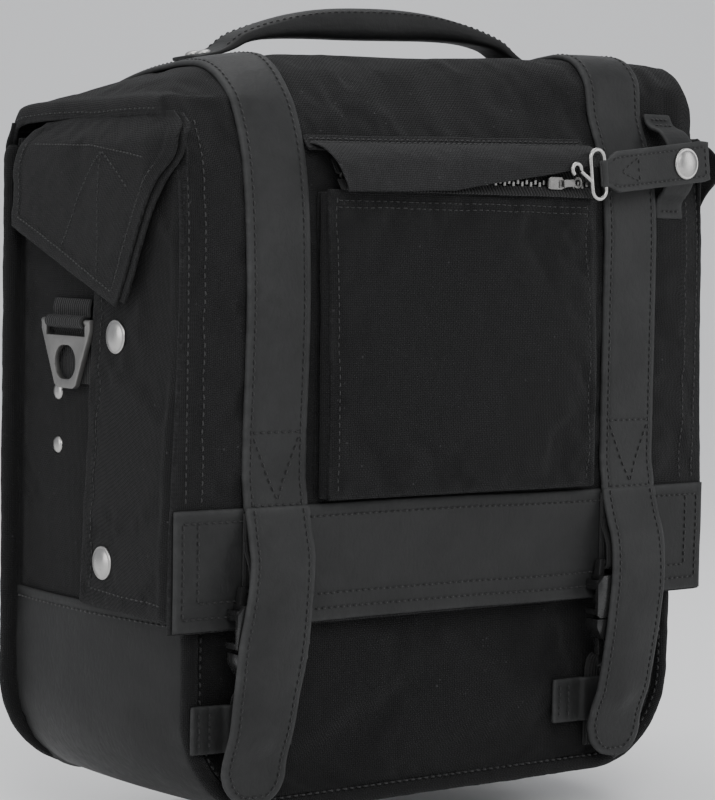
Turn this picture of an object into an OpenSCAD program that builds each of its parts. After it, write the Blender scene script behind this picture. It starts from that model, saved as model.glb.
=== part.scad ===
// Pannier bag: fabric body with leather boot, hinged lid, front flap with
// pocket and straps, side wings and ears, buckles, zip lock, rings and rack hooks.
// X to the right, Y to the back, Z up. Origin under the middle of the base.
// In names, hw is a half width, r a radius, t a thickness and w a width.

/* [Body] */
// Half width of the body at its front edge
front_hw = 157; // [155:0.5:158]
// Half width of the body at its back edge
back_hw = 171; // [169:0.5:171.5]
// How far the side walls swell between the front and the back edge
side_bulge = 5.5; // [4.5:0.5:5.5]
// Height of the body's mouth
mouth_z = 343; // [338:1:344]
// Radius of the lower corners
corner_r = 50; // [44:1:52]
// Thickness of the side fabric with its padding
wall_t = 3; // [2:0.5:3.5]
// Height of the leather boot on the sides
boot_z = 104; // [90:1:112]
// Radius of the rolled edge at the front
front_roll_r = 4.3; // [3.5:0.1:4.4]
// Radius of the rolled edge at the back
back_roll_r = 5.2; // [4:0.1:5.3]

/* [Lid and flap] */
// Half width of the lid, over its side hems
lid_hw = 175.4; // [173:0.2:175.4]
// Half width of the front flap
flap_hw = 172; // [168:1:172]
// Thickness of the lid and flap fabric
flap_t = 2.6; // [1.6:0.2:2.8]
// Bottom edge of the front flap
flap_z0 = 99.5; // [95:0.5:103]
// Height of the leather band on the flap
band_h = 60.5; // [50:0.5:60.5]
// Thickness of the leather band
band_t = 2.4; // [1.6:0.2:2.4]

/* [Straps and buckles] */
// Distance of each strap from the middle
strap_x = 117; // [114:0.5:120]
// Width of the straps
strap_w = 38; // [34:1:38]
// Thickness of the leather straps
strap_t = 3; // [2:0.2:3.2]
// Width of the side-release buckles
buckle_w = 43; // [42.5:0.5:44]
// Width of the webbing that holds the buckles
web_w = 25; // [22:1:25]
// Shift of the buckles from the strap centres; negative is to the left
buckle_dx = -7; // [-7.5:0.5:-6.5]

/* [Pocket] */
// Half width of the pocket face
pocket_hw = 87; // [80:1:88]
// Top edge of the pocket face
pocket_z1 = 318; // [310:1:318]
// How far the pocket face stands off the flap
pocket_depth = 10; // [8:0.5:10]

/* [Metal parts] */
// Radius of the snap caps
cap_r = 8.4; // [7:0.1:8.6]
// Radius of the wire of the zip hook
wire_r = 1.1; // [0.9:0.1:1.1]
// Radius of the rack tube that the hooks take
tube_r = 5; // [4:0.5:5]

/* [Hidden] */
$fn = 48;

fabric_c = [0.14, 0.14, 0.145];
fabric2_c = [0.17, 0.17, 0.175];
leather_c = [0.22, 0.22, 0.225];
webbing_c = [0.12, 0.12, 0.12];
plastic_c = [0.08, 0.08, 0.085];
nickel_c = [0.66, 0.66, 0.67];
board_c = [0.3, 0.3, 0.3];
lining_c = [0.25, 0.25, 0.26];
alu_c = [0.55, 0.56, 0.58];

body_y0 = -71.5;
body_y1 = 71.5;
base_x = 105;                      // half width of the flat base
boot_gap = 0.4;                    // from the side wall to the boot
boot_out = 2.8;                    // from the side wall to the boot's outer face
floor_z = boot_out;                // underside of the walls, so the boot ends at z = 0
web_t = 1.5;                       // thickness of all webbing
flap_y = -87;                      // outer face of the hanging flap
band_z1 = flap_z0 + band_h;
band_y = flap_y - 0.3 - band_t;    // outer face of the band

// ---------- helpers ----------
module left_side() { mirror([1, 0, 0]) children(); }
module both_sides() {
  children();
  mirror([1, 0, 0]) children();
}
// Moves to the middle of the left (-1) or right (1) buckle
module at_buckle(side) { translate([side * strap_x + buckle_dx, 0, 0]) children(); }

// Closed sheet between two grids of points, each a list of rows
module sheet(outer, inner) {
  rows = len(outer) - 1;
  cols = len(outer[0]) - 1;
  n = (rows + 1) * (cols + 1);
  function at(i, j) = i * (cols + 1) + j;
  outer_faces = [for (i = [0:rows-1]) for (j = [0:cols-1]) each [
    [at(i, j), at(i+1, j+1), at(i+1, j)], [at(i, j), at(i, j+1), at(i+1, j+1)]]];
  inner_faces = [for (f = outer_faces) [f[2] + n, f[1] + n, f[0] + n]];
  first_row = [for (j = [0:cols-1]) each [
    [at(0, j), at(0, j+1) + n, at(0, j+1)], [at(0, j), at(0, j) + n, at(0, j+1) + n]]];
  last_row = [for (j = [0:cols-1]) each [
    [at(rows, j+1), at(rows, j) + n, at(rows, j)],
    [at(rows, j+1), at(rows, j+1) + n, at(rows, j) + n]]];
  first_col = [for (i = [0:rows-1]) each [
    [at(i+1, 0), at(i, 0) + n, at(i, 0)], [at(i+1, 0), at(i+1, 0) + n, at(i, 0) + n]]];
  last_col = [for (i = [0:rows-1]) each [
    [at(i, cols), at(i+1, cols) + n, at(i+1, cols)],
    [at(i, cols), at(i, cols) + n, at(i+1, cols) + n]]];
  polyhedron(
    points = [for (row = concat(outer, inner)) each row],
    faces = concat(outer_faces, inner_faces, first_row, last_row, first_col, last_col),
    convexity = 8);
}

// Left normal of a segment, and the mitred left normal at point i of a path
function left_normal(p, q) = let (v = q - p) [-v[1], v[0]] / norm(v);
function mitre(path, i) = let (
    before = i > 0 ? left_normal(path[i-1], path[i]) : left_normal(path[0], path[1]),
    after = i < len(path) - 1 ? left_normal(path[i], path[i+1]) : before,
    mid = before + after,
    unit = mid / norm(mid)) unit / max(0.6, unit * after);
// Closed outline of thickness t along the left of a path (negative: the right)
function strip(path, t) =
  concat(path, [for (i = [len(path)-1:-1:0]) path[i] + t * mitre(path, i)]);

// Extrudes a (y, z) outline from x0 to x1
module along_x(x0, x1) {
  translate([x0, 0, 0]) rotate([90, 0, 90]) linear_extrude(x1 - x0) children();
}
// Extrudes an (x, z) outline from y0 to y1
module along_y(y0, y1) {
  translate([0, y1, 0]) rotate([90, 0, 0]) linear_extrude(y1 - y0) children();
}
// Round rod from x0 to x1, with at = [y, z]
module rod_x(x0, x1, at, r) {
  translate([x0, at[0], at[1]]) rotate([0, 90, 0]) cylinder(h = x1 - x0, r = r);
}
// Round rod from y0 to y1, with at = [x, z]
module rod_y(y0, y1, at, r) {
  translate([at[0], y0, at[1]]) rotate([-90, 0, 0]) cylinder(h = y1 - y0, r = r);
}
// Low domed head, flat side at z = 0
module dome(r, h) {
  sphere_r = (r * r + h * h) / (2 * h);
  intersection() {
    translate([0, 0, h - sphere_r]) sphere(sphere_r);
    cylinder(h = h + 1, r = r);
  }
}

// ---------- body surfaces ----------
function depth_share(y) = (y - body_y0) / (body_y1 - body_y0);
function swell(z) =
  0.86 + 0.14 * sin(180 * max(0, min(1, (z - corner_r) / (mouth_z - corner_r))));
function half_w(y, z) = front_hw + (back_hw - front_hw) * depth_share(y)
  + side_bulge * sin(180 * depth_share(y)) * swell(z);

// Rows of the side: these heights, then the corner arc, then the edge of the base
side_zs = [mouth_z, 300, 250, 200, 150, boot_z, 78, corner_r + floor_z];
boot_row = 5;                      // row at the boot's top edge
corner_steps = 8;
depth_steps = 10;
// Point in row k of the side at depth y, offset outwards by d
function side_pt(k, y, d) =
  k < len(side_zs) ? [half_w(y, side_zs[k]) + d, y, side_zs[k]]
  : k < len(side_zs) + corner_steps ? let (
      a = (k - len(side_zs) + 1) * 90 / corner_steps,
      w = half_w(y, corner_r))
      [w - corner_r + (corner_r + d) * cos(a), y, floor_z + corner_r - (corner_r + d) * sin(a)]
  : [base_x + 0.2, y, floor_z - d];
function side_grid(first, d) = [for (k = [first:len(side_zs) + corner_steps])
  [for (j = [0:depth_steps]) side_pt(k, body_y0 + (body_y1 - body_y0) * j / depth_steps, d)]];
module side_wall() { sheet(side_grid(0, 0), side_grid(0, -wall_t)); }
module boot() { sheet(side_grid(boot_row, boot_out), side_grid(boot_row, boot_gap)); }

// Flat (x, z) outline with rounded lower corners
module panel_outline(hw, r, z0, z1) {
  translate([-hw, z0 + r]) square([2 * hw, z1 - z0 - r]);
  translate([-(hw - r), z0]) square([2 * (hw - r), r + 1]);
  for (side = [-1, 1]) translate([side * (hw - r), z0 + r]) circle(r);
}
module front_panel() color(fabric_c)
  along_y(-76, -73) panel_outline(hw = front_hw - 4.5, r = corner_r - 4, z0 = 9, z1 = 338);
module back_panel() color(fabric_c)
  along_y(72.2, 75) panel_outline(hw = back_hw - 1, r = corner_r, z0 = 12, z1 = mouth_z);
module side_wall_right() color(fabric_c) side_wall();
module side_wall_left() color(fabric_c) left_side() side_wall();
module bottom_wall() color(fabric_c) translate([-base_x, body_y0 + 0.2, floor_z])
  cube([2 * base_x, body_y1 - body_y0 - 0.4, wall_t]);
module boot_right() color(leather_c) boot();
module boot_left() color(leather_c) left_side() boot();
module base_panel() color(leather_c)
  translate([-base_x, -70, 0]) cube([2 * base_x, 140, floor_z - boot_gap]);

// Round bar down both sides of a panel and under it; its axis spans z0 to z1
module rolled_edge(hw, roll_r, y, z0, z1) {
  translate([0, y, 0]) {
    for (side = [-1, 1]) {
      translate([side * hw, 0, z0 + corner_r]) cylinder(h = z1 - z0 - corner_r, r = roll_r);
      translate([side * (hw - corner_r), 0, z0 + corner_r])
        rotate([90, 0, 0]) rotate([0, 0, side > 0 ? 270 : 180])
          rotate_extrude(angle = 90) translate([corner_r, 0]) circle(roll_r);
    }
    rod_x(-(hw - corner_r), hw - corner_r, [0, z0], roll_r);
  }
}
module edge_piping() color(fabric2_c) {
  rolled_edge(hw = front_hw + 0.8, roll_r = front_roll_r,
    y = body_y0 - 0.4 - front_roll_r, z0 = front_roll_r + 0.3, z1 = 318);
  rolled_edge(hw = back_hw + 5.4, roll_r = back_roll_r,
    y = 77, z0 = back_roll_r + 1.2, z1 = mouth_z - 3);
}

// Thin inner bag, open at the top
lining_t = 0.8;
module lining_block(inset, z1) {
  along_y(-71 + inset, 66 - inset)
    panel_outline(hw = front_hw - 5.5 - inset, r = corner_r - 6 - inset, z0 = 6.4 + inset, z1 = z1);
}
module lining() color(lining_c) difference() {
  lining_block(0, mouth_z - 2);
  lining_block(lining_t, mouth_z + 5);
}
module back_stiffener() color(board_c)
  along_y(67, 70.5) panel_outline(hw = front_hw - 2, r = corner_r, z0 = 14, z1 = mouth_z - 8);
module base_board() color(board_c) translate([-100, -62, 7.6]) cube([200, 122, 3]);

// ---------- front fittings on the body ----------
// (y, z) path of each webbing
lower_web_path = [[-82.2, 15.5], [-82.2, 60], [-84, 64], [-86.2, 66.5]];
module lower_webbings() color(webbing_c) for (side = [-1, 1]) at_buckle(side)
  along_x(-web_w / 2, web_w / 2) polygon(strip(lower_web_path, -web_t));

// (x, y) path of each tab, raised in the middle
keeper_path = [[-36, -81.2], [-16.5, -81.2], [-15, -82.8], [18, -82.8], [19.5, -81.2], [29, -81.2]];
keeper_h = 24;
keeper_t = 2.2;
module keeper_tabs() color(leather_c) for (side = [-1, 1]) at_buckle(side)
  translate([0, 0, side > 0 ? 30 : 37]) linear_extrude(keeper_h)
    polygon(strip(keeper_path, -keeper_t));

// ---------- side fittings ----------
patch_x = 171.7;                   // inner face of the webbing patch
ring_at = [176.5, 16, 248];        // middle of the ring's bar
ring_web_w = 38;
module ring_webbing() {
  ring_x = ring_at[0];
  ring_z = ring_at[2];
  y0 = ring_at[1] - ring_web_w / 2;
  y1 = y0 + ring_web_w;
  // patch sewn to the wall, and the loop that goes through the ring
  difference() {
    union() {
      translate([patch_x, y0, 216]) cube([web_t, ring_web_w, 44]);
      rod_y(y0, y1, [ring_x, ring_z], 3.3);
      along_y(y0, y1) polygon([
        [patch_x, ring_z], [ring_x + 3.3, ring_z], [ring_x + 1.2, ring_z + 7],
        [patch_x + web_t, ring_z + 12], [patch_x, ring_z + 12]]);
    }
    rod_y(y0 - 1, y1 + 1, [ring_x, ring_z], 1.75);
  }
}
module ring_webbings() color(webbing_c) both_sides() ring_webbing();
module side_rivets() color(nickel_c) both_sides() for (z = [211, 183])
  translate([patch_x, 32.5, z]) rotate([0, 90, 0]) dome(4.4, 1.8);

// Columns: y, z, inner x, outer x
studs = [[-30.6, 242, 166.4, 171.5], [-21.6, 127, 167.6, 171.7]];
module wing_studs() color(nickel_c) both_sides() for (p = studs) {
  rod_x(p[2], p[3] - 1.2, [p[0], p[1]], 6);
  rod_x(p[2], p[3], [p[0], p[1]], 2.6);
}

// ---------- rings ----------
// (y, z) outline, from the bar downwards
ring_outline = [[-25, 0.6], [25, 0.6], [25, -4], [11, -32.5],
  [8, -34.3], [-8, -34.3], [-11, -32.5], [-25, -4]];
module ring() {
  translate(ring_at) {
    along_x(-1.4, 1.4) difference() {
      polygon(ring_outline);
      translate([-20, -7.2]) square([40, 12]);
      // oval hole
      translate([0, -20.9]) {
        translate([-2, 0]) circle(8.9);
        translate([2, 0]) circle(8.9);
        translate([-2, -8.9]) square([4, 17.8]);
      }
    }
    rod_y(-25, 25, [0, 0], 1.65);
  }
}
module ring_right() color(nickel_c) ring();
module ring_left() color(nickel_c) left_side() ring();

// ---------- lid and flap surface ----------
// (y, z) profile of the outer fabric face along the middle, from the back edge
// over the crown and down the front
lid_profile = [
  [80.5, 348.5], [78.6, 354.5], [72.5, 361], [60, 367.8], [40, 375.8], [16, 382.2],
  [-8, 386.6], [-30, 388.2], [-43, 386.2], [-53, 380.6], [-62, 371.6], [-70, 361],
  [-76.8, 348.2], [-81.6, 334.5], [-84.9, 318], [-86.5, 300], [-87, 280], [-87, 161],
  [flap_y, flap_z0]];
fold_row = 10;                     // row of the profile where the flap begins
flap_shift = [0, -0.5, -0.66];     // sets the flap's first row clear of the lid
strap_gap = 0.8;                   // from the fabric to the straps

// The crown falls away towards the sides
function side_drop(x, z) = max(0, z - 361) * pow(min(1.08, abs(x) / 175), 4);
// Point in row i of the profile at x, offset outwards by d
function lid_pt(i, x, d) = let (p = lid_profile[i] - d * mitre(lid_profile, i))
  [x, p[0], p[1] - side_drop(x, lid_profile[i][1])];
function lid_grid(first, last, xs, d, shift) = [for (i = [first:last])
  [for (x = xs) lid_pt(i, x, d) + (i == first ? shift : [0, 0, 0])]];
// Sheet laid on the lid surface between the offsets inner and outer
module laid(first, last, xs, inner, outer, shift = [0, 0, 0]) {
  sheet(lid_grid(first, last, xs, outer, shift), lid_grid(first, last, xs, inner, shift));
}

mid_xs = [-160, -148, -136, -117, -98, -70, -35, 0, 35, 70, 98, 117, 136, 148, 160];
lid_xs = concat([-lid_hw, -172], mid_xs, [172, lid_hw]);
flap_xs = concat([-flap_hw], mid_xs, [flap_hw]);
function strap_xs(side) = [for (k = [-1:1]) side * strap_x + k * strap_w / 2];

module lid_panel() color(fabric2_c) laid(0, fold_row, lid_xs, -flap_t, 0);
module strap_tops() color(leather_c) for (side = [-1, 1])
  laid(1, fold_row, strap_xs(side), strap_gap, strap_gap + strap_t);
module flap_front() color(fabric2_c) laid(fold_row, 18, flap_xs, -flap_t, 0, flap_shift);
module strap_fronts() color(leather_c) for (side = [-1, 1])
  laid(fold_row, 17, strap_xs(side), strap_gap, strap_gap + strap_t, flap_shift);
module leather_band() color(leather_c)
  translate([-flap_hw, band_y, flap_z0 - 0.3]) cube([2 * flap_hw, band_t, band_h]);

// ---------- pocket ----------
face_y = flap_y - pocket_depth;
pocket_z0 = band_z1 + 1;
bellows_t = 1.4;
bellows_hw = pocket_hw + 4;
module pocket_face() color(fabric_c)
  translate([-pocket_hw, face_y, pocket_z0]) cube([2 * pocket_hw, 1.6, pocket_z1 - pocket_z0]);
// Side and bottom walls of the pocket
module pocket_bellows() color(fabric_c) along_y(face_y + 1.8, flap_y - 0.3) difference() {
  translate([-bellows_hw, pocket_z0]) square([2 * bellows_hw, pocket_z1 - pocket_z0 - 2]);
  translate([-(bellows_hw - bellows_t), pocket_z0 + bellows_t])
    square([2 * (bellows_hw - bellows_t), pocket_z1]);
}

// Overhanging flap above the zip, lifted at the right
storm_top_xs = [-91, -70, -45, -20, 8, 30, 52, 70, 79];
storm_low_xs = [-79, -62, -40, -18, 8, 30, 50, 66, 79];
storm_rows = 8;
storm_t = 1.5;
function storm_fall(x) = 23 - 14.5 * max(0, min(1, (x - 8) / 66));
// Point at x, at a share of the way down, offset outwards by d
function storm_pt(x, share, d) = let (a = 90 * share) [
  x,
  -81.6 - (17.5 + d) * pow(sin(a), 0.72),
  340.6 + d * 0.7 * cos(a) - storm_fall(x) * (1 - cos(a))];
function storm_grid(d) = [for (j = [0:storm_rows]) [for (i = [0:len(storm_top_xs)-1])
  storm_pt(storm_top_xs[i] + (storm_low_xs[i] - storm_top_xs[i]) * j / storm_rows,
    j / storm_rows, d)]];
module storm_flap() color(fabric2_c) sheet(storm_grid(storm_t), storm_grid(0));

// ---------- zip ----------
chain_y = -92.4;
chain_z = 324.4;
slider_x = 57;
// (y, z) sections of the lower and the upper tape
tape_sections = [
  [[-95.6, 318.6], [-94.6, 318.2], [-92.2, 321.6], [-92.4, 322.6]],
  [[-91.6, 326.2], [-90.8, 325.9], [-86.2, 331.8], [-86.6, 332.8]]];
module zip_tape() color(webbing_c) for (section = tape_sections) along_x(-84, 84) polygon(section);
// Teeth, alternately above and below the middle line
module zip_chain() color(nickel_c) for (i = [0:54])
  translate([-82 + i * 3, chain_y, chain_z + (i % 2 == 0 ? 0.55 : -0.55)])
    cube([1.7, 1.5, 2.6], center = true);
// (x, z) outline of the slider's plate
slider_outline = [[-5.5, -2.3], [-4, -2.9], [4, -2.9], [5.5, -2],
  [5.5, 2.2], [4, 3.8], [-4, 3.8], [-5.5, 3]];
module zip_slider() color(nickel_c) translate([slider_x, chain_y, chain_z]) {
  along_y(-2.6, -1.1) polygon(slider_outline);
  translate([2.2, -3.2, -2]) cube([1.4, 0.8, 4]);
  translate([3.5, -3.2, -2]) cube([1.6, 0.8, 4]);
}
module zip_puller() color(nickel_c) translate([slider_x + 4.4, chain_y - 4.1, chain_z + 0.4])
  rotate([0, -4, 0]) along_y(-0.55, 0.55) difference() {
    union() {
      translate([-0.5, -2]) square([9.5, 4]);
      translate([9, 0]) circle(3.1);
    }
    translate([9, 0]) circle(1.7);
  }

// ---------- zip lock ----------
lock_at = [144, -99.2, 338];       // middle of the snap
pivot_x = -59.3;                   // pivot wire, from the snap
bend_r = 4.85;                     // bends between the pins and the upright bar
bend_z = 8.4;
module at_lock() { translate(lock_at) rotate([0, -7, 1]) children(); }
// Upright leather strip that carries the snap: (y, z) path
lock_loop_path = [[-86.4, 309.5], [-86.0, 317], [-92, 323], [-96, 330], [-96.6, 338],
  [-95, 346], [-88, 354], [-74.5, 358.2], [-72.3, 362.6]];
module lock_loop() color(leather_c) along_x(136.6, 156) polygon(strip(lock_loop_path, 2.2));
module lock_stud() color(nickel_c)
  translate(lock_at + [0, 0.25, 0]) rotate([90, 0, 0]) cylinder(h = 0.9, r = 5.8);
// Leather tab, rolled round the pivot wire at its left end: (x, z) outline
lock_tab_outline = [[-58, -7.2], [-50, -11.3], [19, -11.5], [19, 11.5], [-50, 11.3], [-58, 7.2]];
module lock_tab() color(leather_c) at_lock() difference() {
  union() {
    along_y(-2.9, -0.3) polygon(lock_tab_outline);
    translate([pivot_x, -1.6, -7.2]) cylinder(h = 14.4, r = 2.5);
  }
  translate([pivot_x, -1.6, -12]) cylinder(h = 24, r = wire_r + 0.07);
  translate([0, 0.5, 0]) rotate([90, 0, 0]) cylinder(h = 2.4, r = 6.5);
}
module lock_snap() color(nickel_c)
  at_lock() translate([0, -3.1, 0]) rotate([90, 0, 0]) dome(cap_r, 2.6);
// Formed wire: two pins in the tab, an upright bar, an arm and a small hook
module wire_hook() color(nickel_c) at_lock() translate([0, -1.6, 0]) {
  bar_x = pivot_x - 2 * bend_r;
  for (side = [-1, 1]) {
    translate([pivot_x, 0, side > 0 ? bend_z - 4 : -bend_z]) cylinder(h = 4, r = wire_r);
    translate([pivot_x - bend_r, 0, side * bend_z])
      rotate([90, 0, 0]) rotate([0, 0, side > 0 ? 0 : 180])
        rotate_extrude(angle = 180) translate([bend_r, 0]) circle(wire_r);
  }
  translate([bar_x, 0, -bend_z]) cylinder(h = 2 * bend_z, r = wire_r);
  translate([bar_x, 0, -3.6]) rotate([0, -49.4, 0]) cylinder(h = 9.95, r = wire_r);
  translate([-79.2, 0, 3.95]) rotate([90, 0, 0]) rotate([0, 0, -20])
    rotate_extrude(angle = 250) translate([3, 0]) circle(wire_r);
}

// ---------- strap tails ----------
// (y, z) path, from the band down
tail_path = [
  [-92.4, 157.6], [-95.2, 146], [-101, 131], [-102.6, 118], [-103, 96], [-102.8, 74],
  [-101.2, 60], [-98.6, 49.5], [-94.4, 41], [-90.4, 32], [-88.6, 22], [-88, 9]];
tail_round_z = 28;                 // centre of the rounded end
module tail() {
  intersection() {
    along_x(strap_x - strap_w / 2, strap_x + strap_w / 2) polygon(strip(tail_path, -strap_t));
    along_y(-120, -80) union() {
      translate([strap_x, tail_round_z]) circle(strap_w / 2);
      translate([strap_x - strap_w / 2, tail_round_z]) square([strap_w, 140]);
    }
  }
}
module tail_right() color(leather_c) tail();
module tail_left() color(leather_c) left_side() tail();

// ---------- buckles and their webbing ----------
// Bars that hold the webbing, in the upper (female) and lower (male) halves
female_bar = [band_y - 4.6, 119];
male_bar = [band_y - 4.4, 70.5];

// Half loop round a bar, a back run to end_z and a front run. front lists the
// front run's outline as [y from the bar, z].
module webbing_loop(w, bar, bore_r, end_z, front) {
  back_y = bar[0] + bore_r;
  translate([-w / 2, bar[0], bar[1]]) rotate([0, 90, 0]) difference() {
    cylinder(h = w, r = bore_r + web_t);
    translate([0, 0, -1]) cylinder(h = w + 2, r = bore_r);
    // opens the loop on the side of the runs
    translate([end_z > bar[1] ? -9 : 0, -9, -1]) cube([9, 18, w + 2]);
  }
  along_x(-w / 2, w / 2) polygon([
    [back_y, bar[1]], [back_y + web_t, bar[1]], [back_y + web_t, end_z], [back_y, end_z]]);
  along_x(-w / 2, w / 2) polygon([for (p = front) [bar[0] + p[0], p[1]]]);
}
upper_front_run = [[-3.9, female_bar[1]], [-2.4, female_bar[1]], [-2.4, 127], [2.2, 139],
  [2.2, 143], [0.8, 143], [0.2, 138.6], [-3.9, 128.4]];
male_front_run = [[-3.8, male_bar[1]], [-2.3, male_bar[1]], [-2.3, 66],
  [1.9, 61], [0.4, 60], [-3.8, 65]];
module upper_webbings() color(webbing_c) for (side = [-1, 1]) at_buckle(side)
  webbing_loop(web_w, female_bar, 2.4, 157, upper_front_run);
module male_webbing() { webbing_loop(web_w - 1, male_bar, 2.3, 61, male_front_run); }
module male_webbing_right() color(webbing_c) at_buckle(1) male_webbing();
module male_webbing_left() color(webbing_c) at_buckle(-1) male_webbing();

module buckle_female() {
  y0 = band_y - 11.2;
  y1 = band_y - 0.6;
  hw = buckle_w / 2;
  // front plate
  along_y(y0, y0 + 2.2) polygon([
    [-hw, 91], [-hw + 2, 89.5], [hw - 2, 89.5], [hw, 91],
    [hw, 108], [hw - 4, 112.5], [-hw + 4, 112.5], [-hw, 108]]);
  // top bridge
  translate([-hw + 4, y0 + 2, 108.5]) cube([2 * hw - 8, y1 - y0 - 2, 4]);
  // lower and upper side posts, and arms of the webbing bar
  both_sides() {
    translate([hw - 3, y0 + 2, 91]) cube([3, y1 - y0 - 2, 3]);
    translate([hw - 3.5, y0 + 2, 105]) cube([3, y1 - y0 - 2, 5]);
    along_y(female_bar[0] - 2, female_bar[0] + 2)
      polygon([[hw - 8, 112], [hw - 4, 112], [hw - 5, 121.2], [hw - 8.2, 121.2]]);
  }
  rod_x(-hw + 8, hw - 8, female_bar, 2.1);
}
module buckle_females() color(plastic_c) for (side = [-1, 1]) at_buckle(side) buckle_female();

module buckle_male() {
  y0 = band_y - 10.6;
  y1 = band_y - 1.2;
  hw = buckle_w / 2 - 0.5;
  // shoulder block
  along_y(y0, y1) polygon([
    [-hw, 88.6], [-hw, 84], [-hw + 3, 79], [-hw + 5, 77],
    [hw - 5, 77], [hw - 3, 79], [hw, 84], [hw, 88.6]]);
  // arms of the webbing bar, and the two side prongs
  both_sides() {
    along_y(male_bar[0] - 2, male_bar[0] + 2)
      polygon([[hw - 8, 68.4], [hw - 5.4, 68.4], [hw - 4.6, 77.2], [hw - 8, 77.2]]);
    along_y(y0 + 2.6, y1 - 0.8) polygon([
      [hw - 8, 88], [hw - 4.6, 88], [hw - 3.6, 96], [hw - 3.6, 101],
      [hw - 7, 105.2], [hw - 9, 105.2], [hw - 9, 101], [hw - 7, 97]]);
  }
  // guide tongue
  translate([-4, y0 + 3, 88]) cube([8, 3, 16]);
  rod_x(-hw + 8, hw - 8, male_bar, 2);
}
module buckle_male_right() color(plastic_c) at_buckle(1) buckle_male();
module buckle_male_left() color(plastic_c) at_buckle(-1) buckle_male();

// ---------- handle ----------
// Right half of the arch in (x, z), along the top and back along the underside
grip_half = [
  [0, 419], [18, 418.4], [38, 416], [58, 411.4], [76, 405], [90, 398.6],
  [88, 397.4], [78, 398], [64, 400.4], [46, 402.2], [24, 403], [0, 403]];
grip_last = len(grip_half) - 1;
module handle_grip() color(leather_c) along_y(-8.5, 13.5) polygon(concat(
  [for (i = [0:grip_last-1]) grip_half[i]],
  [for (i = [grip_last:-1:1]) [-grip_half[i][0], grip_half[i][1]]]));
module handle_pads() color(leather_c) both_sides() along_y(-9, 14)
  polygon([[93, 388.6], [116, 388.6], [116, 391.2], [99, 391.2], [93, 394]]);
module handle_rivets() color(nickel_c) for (x = [-108, 108]) for (y = [-3, 8])
  translate([x, y, 391.3]) dome(3.6, 1.6);

// ---------- wings and ears ----------
wing_t = 2.4;
// (y, z) outline, y from the wing's front edge
wing_outline = [[1.6, 104], [90, 104], [88, 127], [79, 242], [74, 300],
  [64, 312], [30, 330], [9, 338], [9, 300], [1.6, 292]];
// Frame of the right wing: outer face at x = 0
module at_wing() { translate([173.2, -85.5, 0]) rotate([0, 0, -1.2]) children(); }
module wing() { at_wing() along_x(-wing_t, 0) polygon(wing_outline); }
module wing_right() color(fabric_c) wing();
module wing_left() color(fabric_c) left_side() wing();
// Caps on the outer face, at (y, z)
module wing_snaps() {
  at_wing() for (p = [[54.9, 242], [64, 127]])
    translate([0.2, p[0], p[1]]) rotate([0, 90, 0]) dome(cap_r, 2.6);
}
module wing_snaps_right() color(nickel_c) wing_snaps();
module wing_snaps_left() color(nickel_c) left_side() wing_snaps();

// (y, z) outlines of the ear's inner and outer layers
ear_inner = [[44, 350], [56, 341], [65, 330], [69, 297],
  [-45, 259], [-90, 338], [-89, 346], [-82, 352]];
ear_outer = [[42, 351], [54, 342], [64, 331], [68, 297.5],
  [-40, 258.5], [-88, 338], [-87, 346], [-79, 353]];
module ear() {
  translate([177.8, 0, 0]) {
    along_x(0, 1.9) polygon(ear_inner);
    along_x(1.9, 4) polygon(ear_outer);
  }
  // strip along the top, towards the lid
  translate([176.2, -78, 350]) cube([2.6, 118, 1.6]);
}
module ear_right() color(fabric_c) ear();
module ear_left() color(fabric_c) left_side() ear();

// ---------- rear mounting ----------
rail_y = 75.4;                     // front face of both rails
rail_z = 322;
screw_xs = [-120, -40, 40, 120];
tube_at = [92, 327];               // (y, z) of the rack tube
hook_x = 85;
hook_hw = 13;
hook_y = 80.6;                     // front face of the hook's plate
latch_pin = [99.8, 318.3];         // (y, z)
module rail_holes(xs, z) { for (x = xs) rod_y(70, 90, [x, z], 2.2); }
module mount_rail() color(alu_c) difference() {
  translate([-135, rail_y, rail_z - 9]) cube([270, 5, 18]);
  rail_holes(screw_xs, rail_z);
}
module rail_screws() color(nickel_c) for (x = screw_xs)
  translate([x, 80.5, rail_z]) rotate([-90, 0, 0]) dome(4, 2);

module rack_hook() difference() {
  union() {
    along_x(hook_x - hook_hw, hook_x + hook_hw) {
      translate([hook_y, rail_z - 9]) square([4, 20]);
      translate([83, tube_at[1] - 7]) square([3.6, 10]);
      difference() {
        translate(tube_at) circle(tube_r + 3.6);
        translate([tube_at[0] - tube_r - 1, tube_at[1] - 20]) square([20, 13]);
      }
      translate([hook_y, tube_at[1] + 2]) square([tube_at[0] - hook_y, 6.6]);
    }
    // lugs for the latch pin
    for (x = [-hook_hw, 9.6]) along_x(hook_x + x, hook_x + x + 3.4) {
      translate(latch_pin) circle(3.6);
      translate([latch_pin[0] - 2.4, latch_pin[1]]) square([3.2, 8]);
    }
  }
  // seat of the tube, its way in from below, and the pin hole
  along_x(hook_x - hook_hw - 1, hook_x + hook_hw + 1) {
    translate(tube_at) circle(tube_r);
    translate([tube_at[0] - tube_r, tube_at[1] - 20]) square([2 * tube_r, 20]);
    translate(latch_pin) circle(1.56);
  }
}
module rack_hooks() color(plastic_c) both_sides() rack_hook();

// Latch that closes the hook under the tube: (y, z) outline, barrel and pin
latch_outline = [[86.2, 318], [90, 316.4], [98, 316.4], [98, 319.6],
  [96.4, 319.7], [92.5, 321.3], [87.4, 320.4]];
module latch() {
  along_x(hook_x - 9.2, hook_x + 9.2) polygon(latch_outline);
  rod_x(hook_x - 9.2, hook_x + 9.2, latch_pin, 2.4);
  rod_x(hook_x - 12.8, hook_x + 12.8, latch_pin, 1.5);
}
module latch_right() color(plastic_c) latch();
module latch_left() color(plastic_c) left_side() latch();

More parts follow.
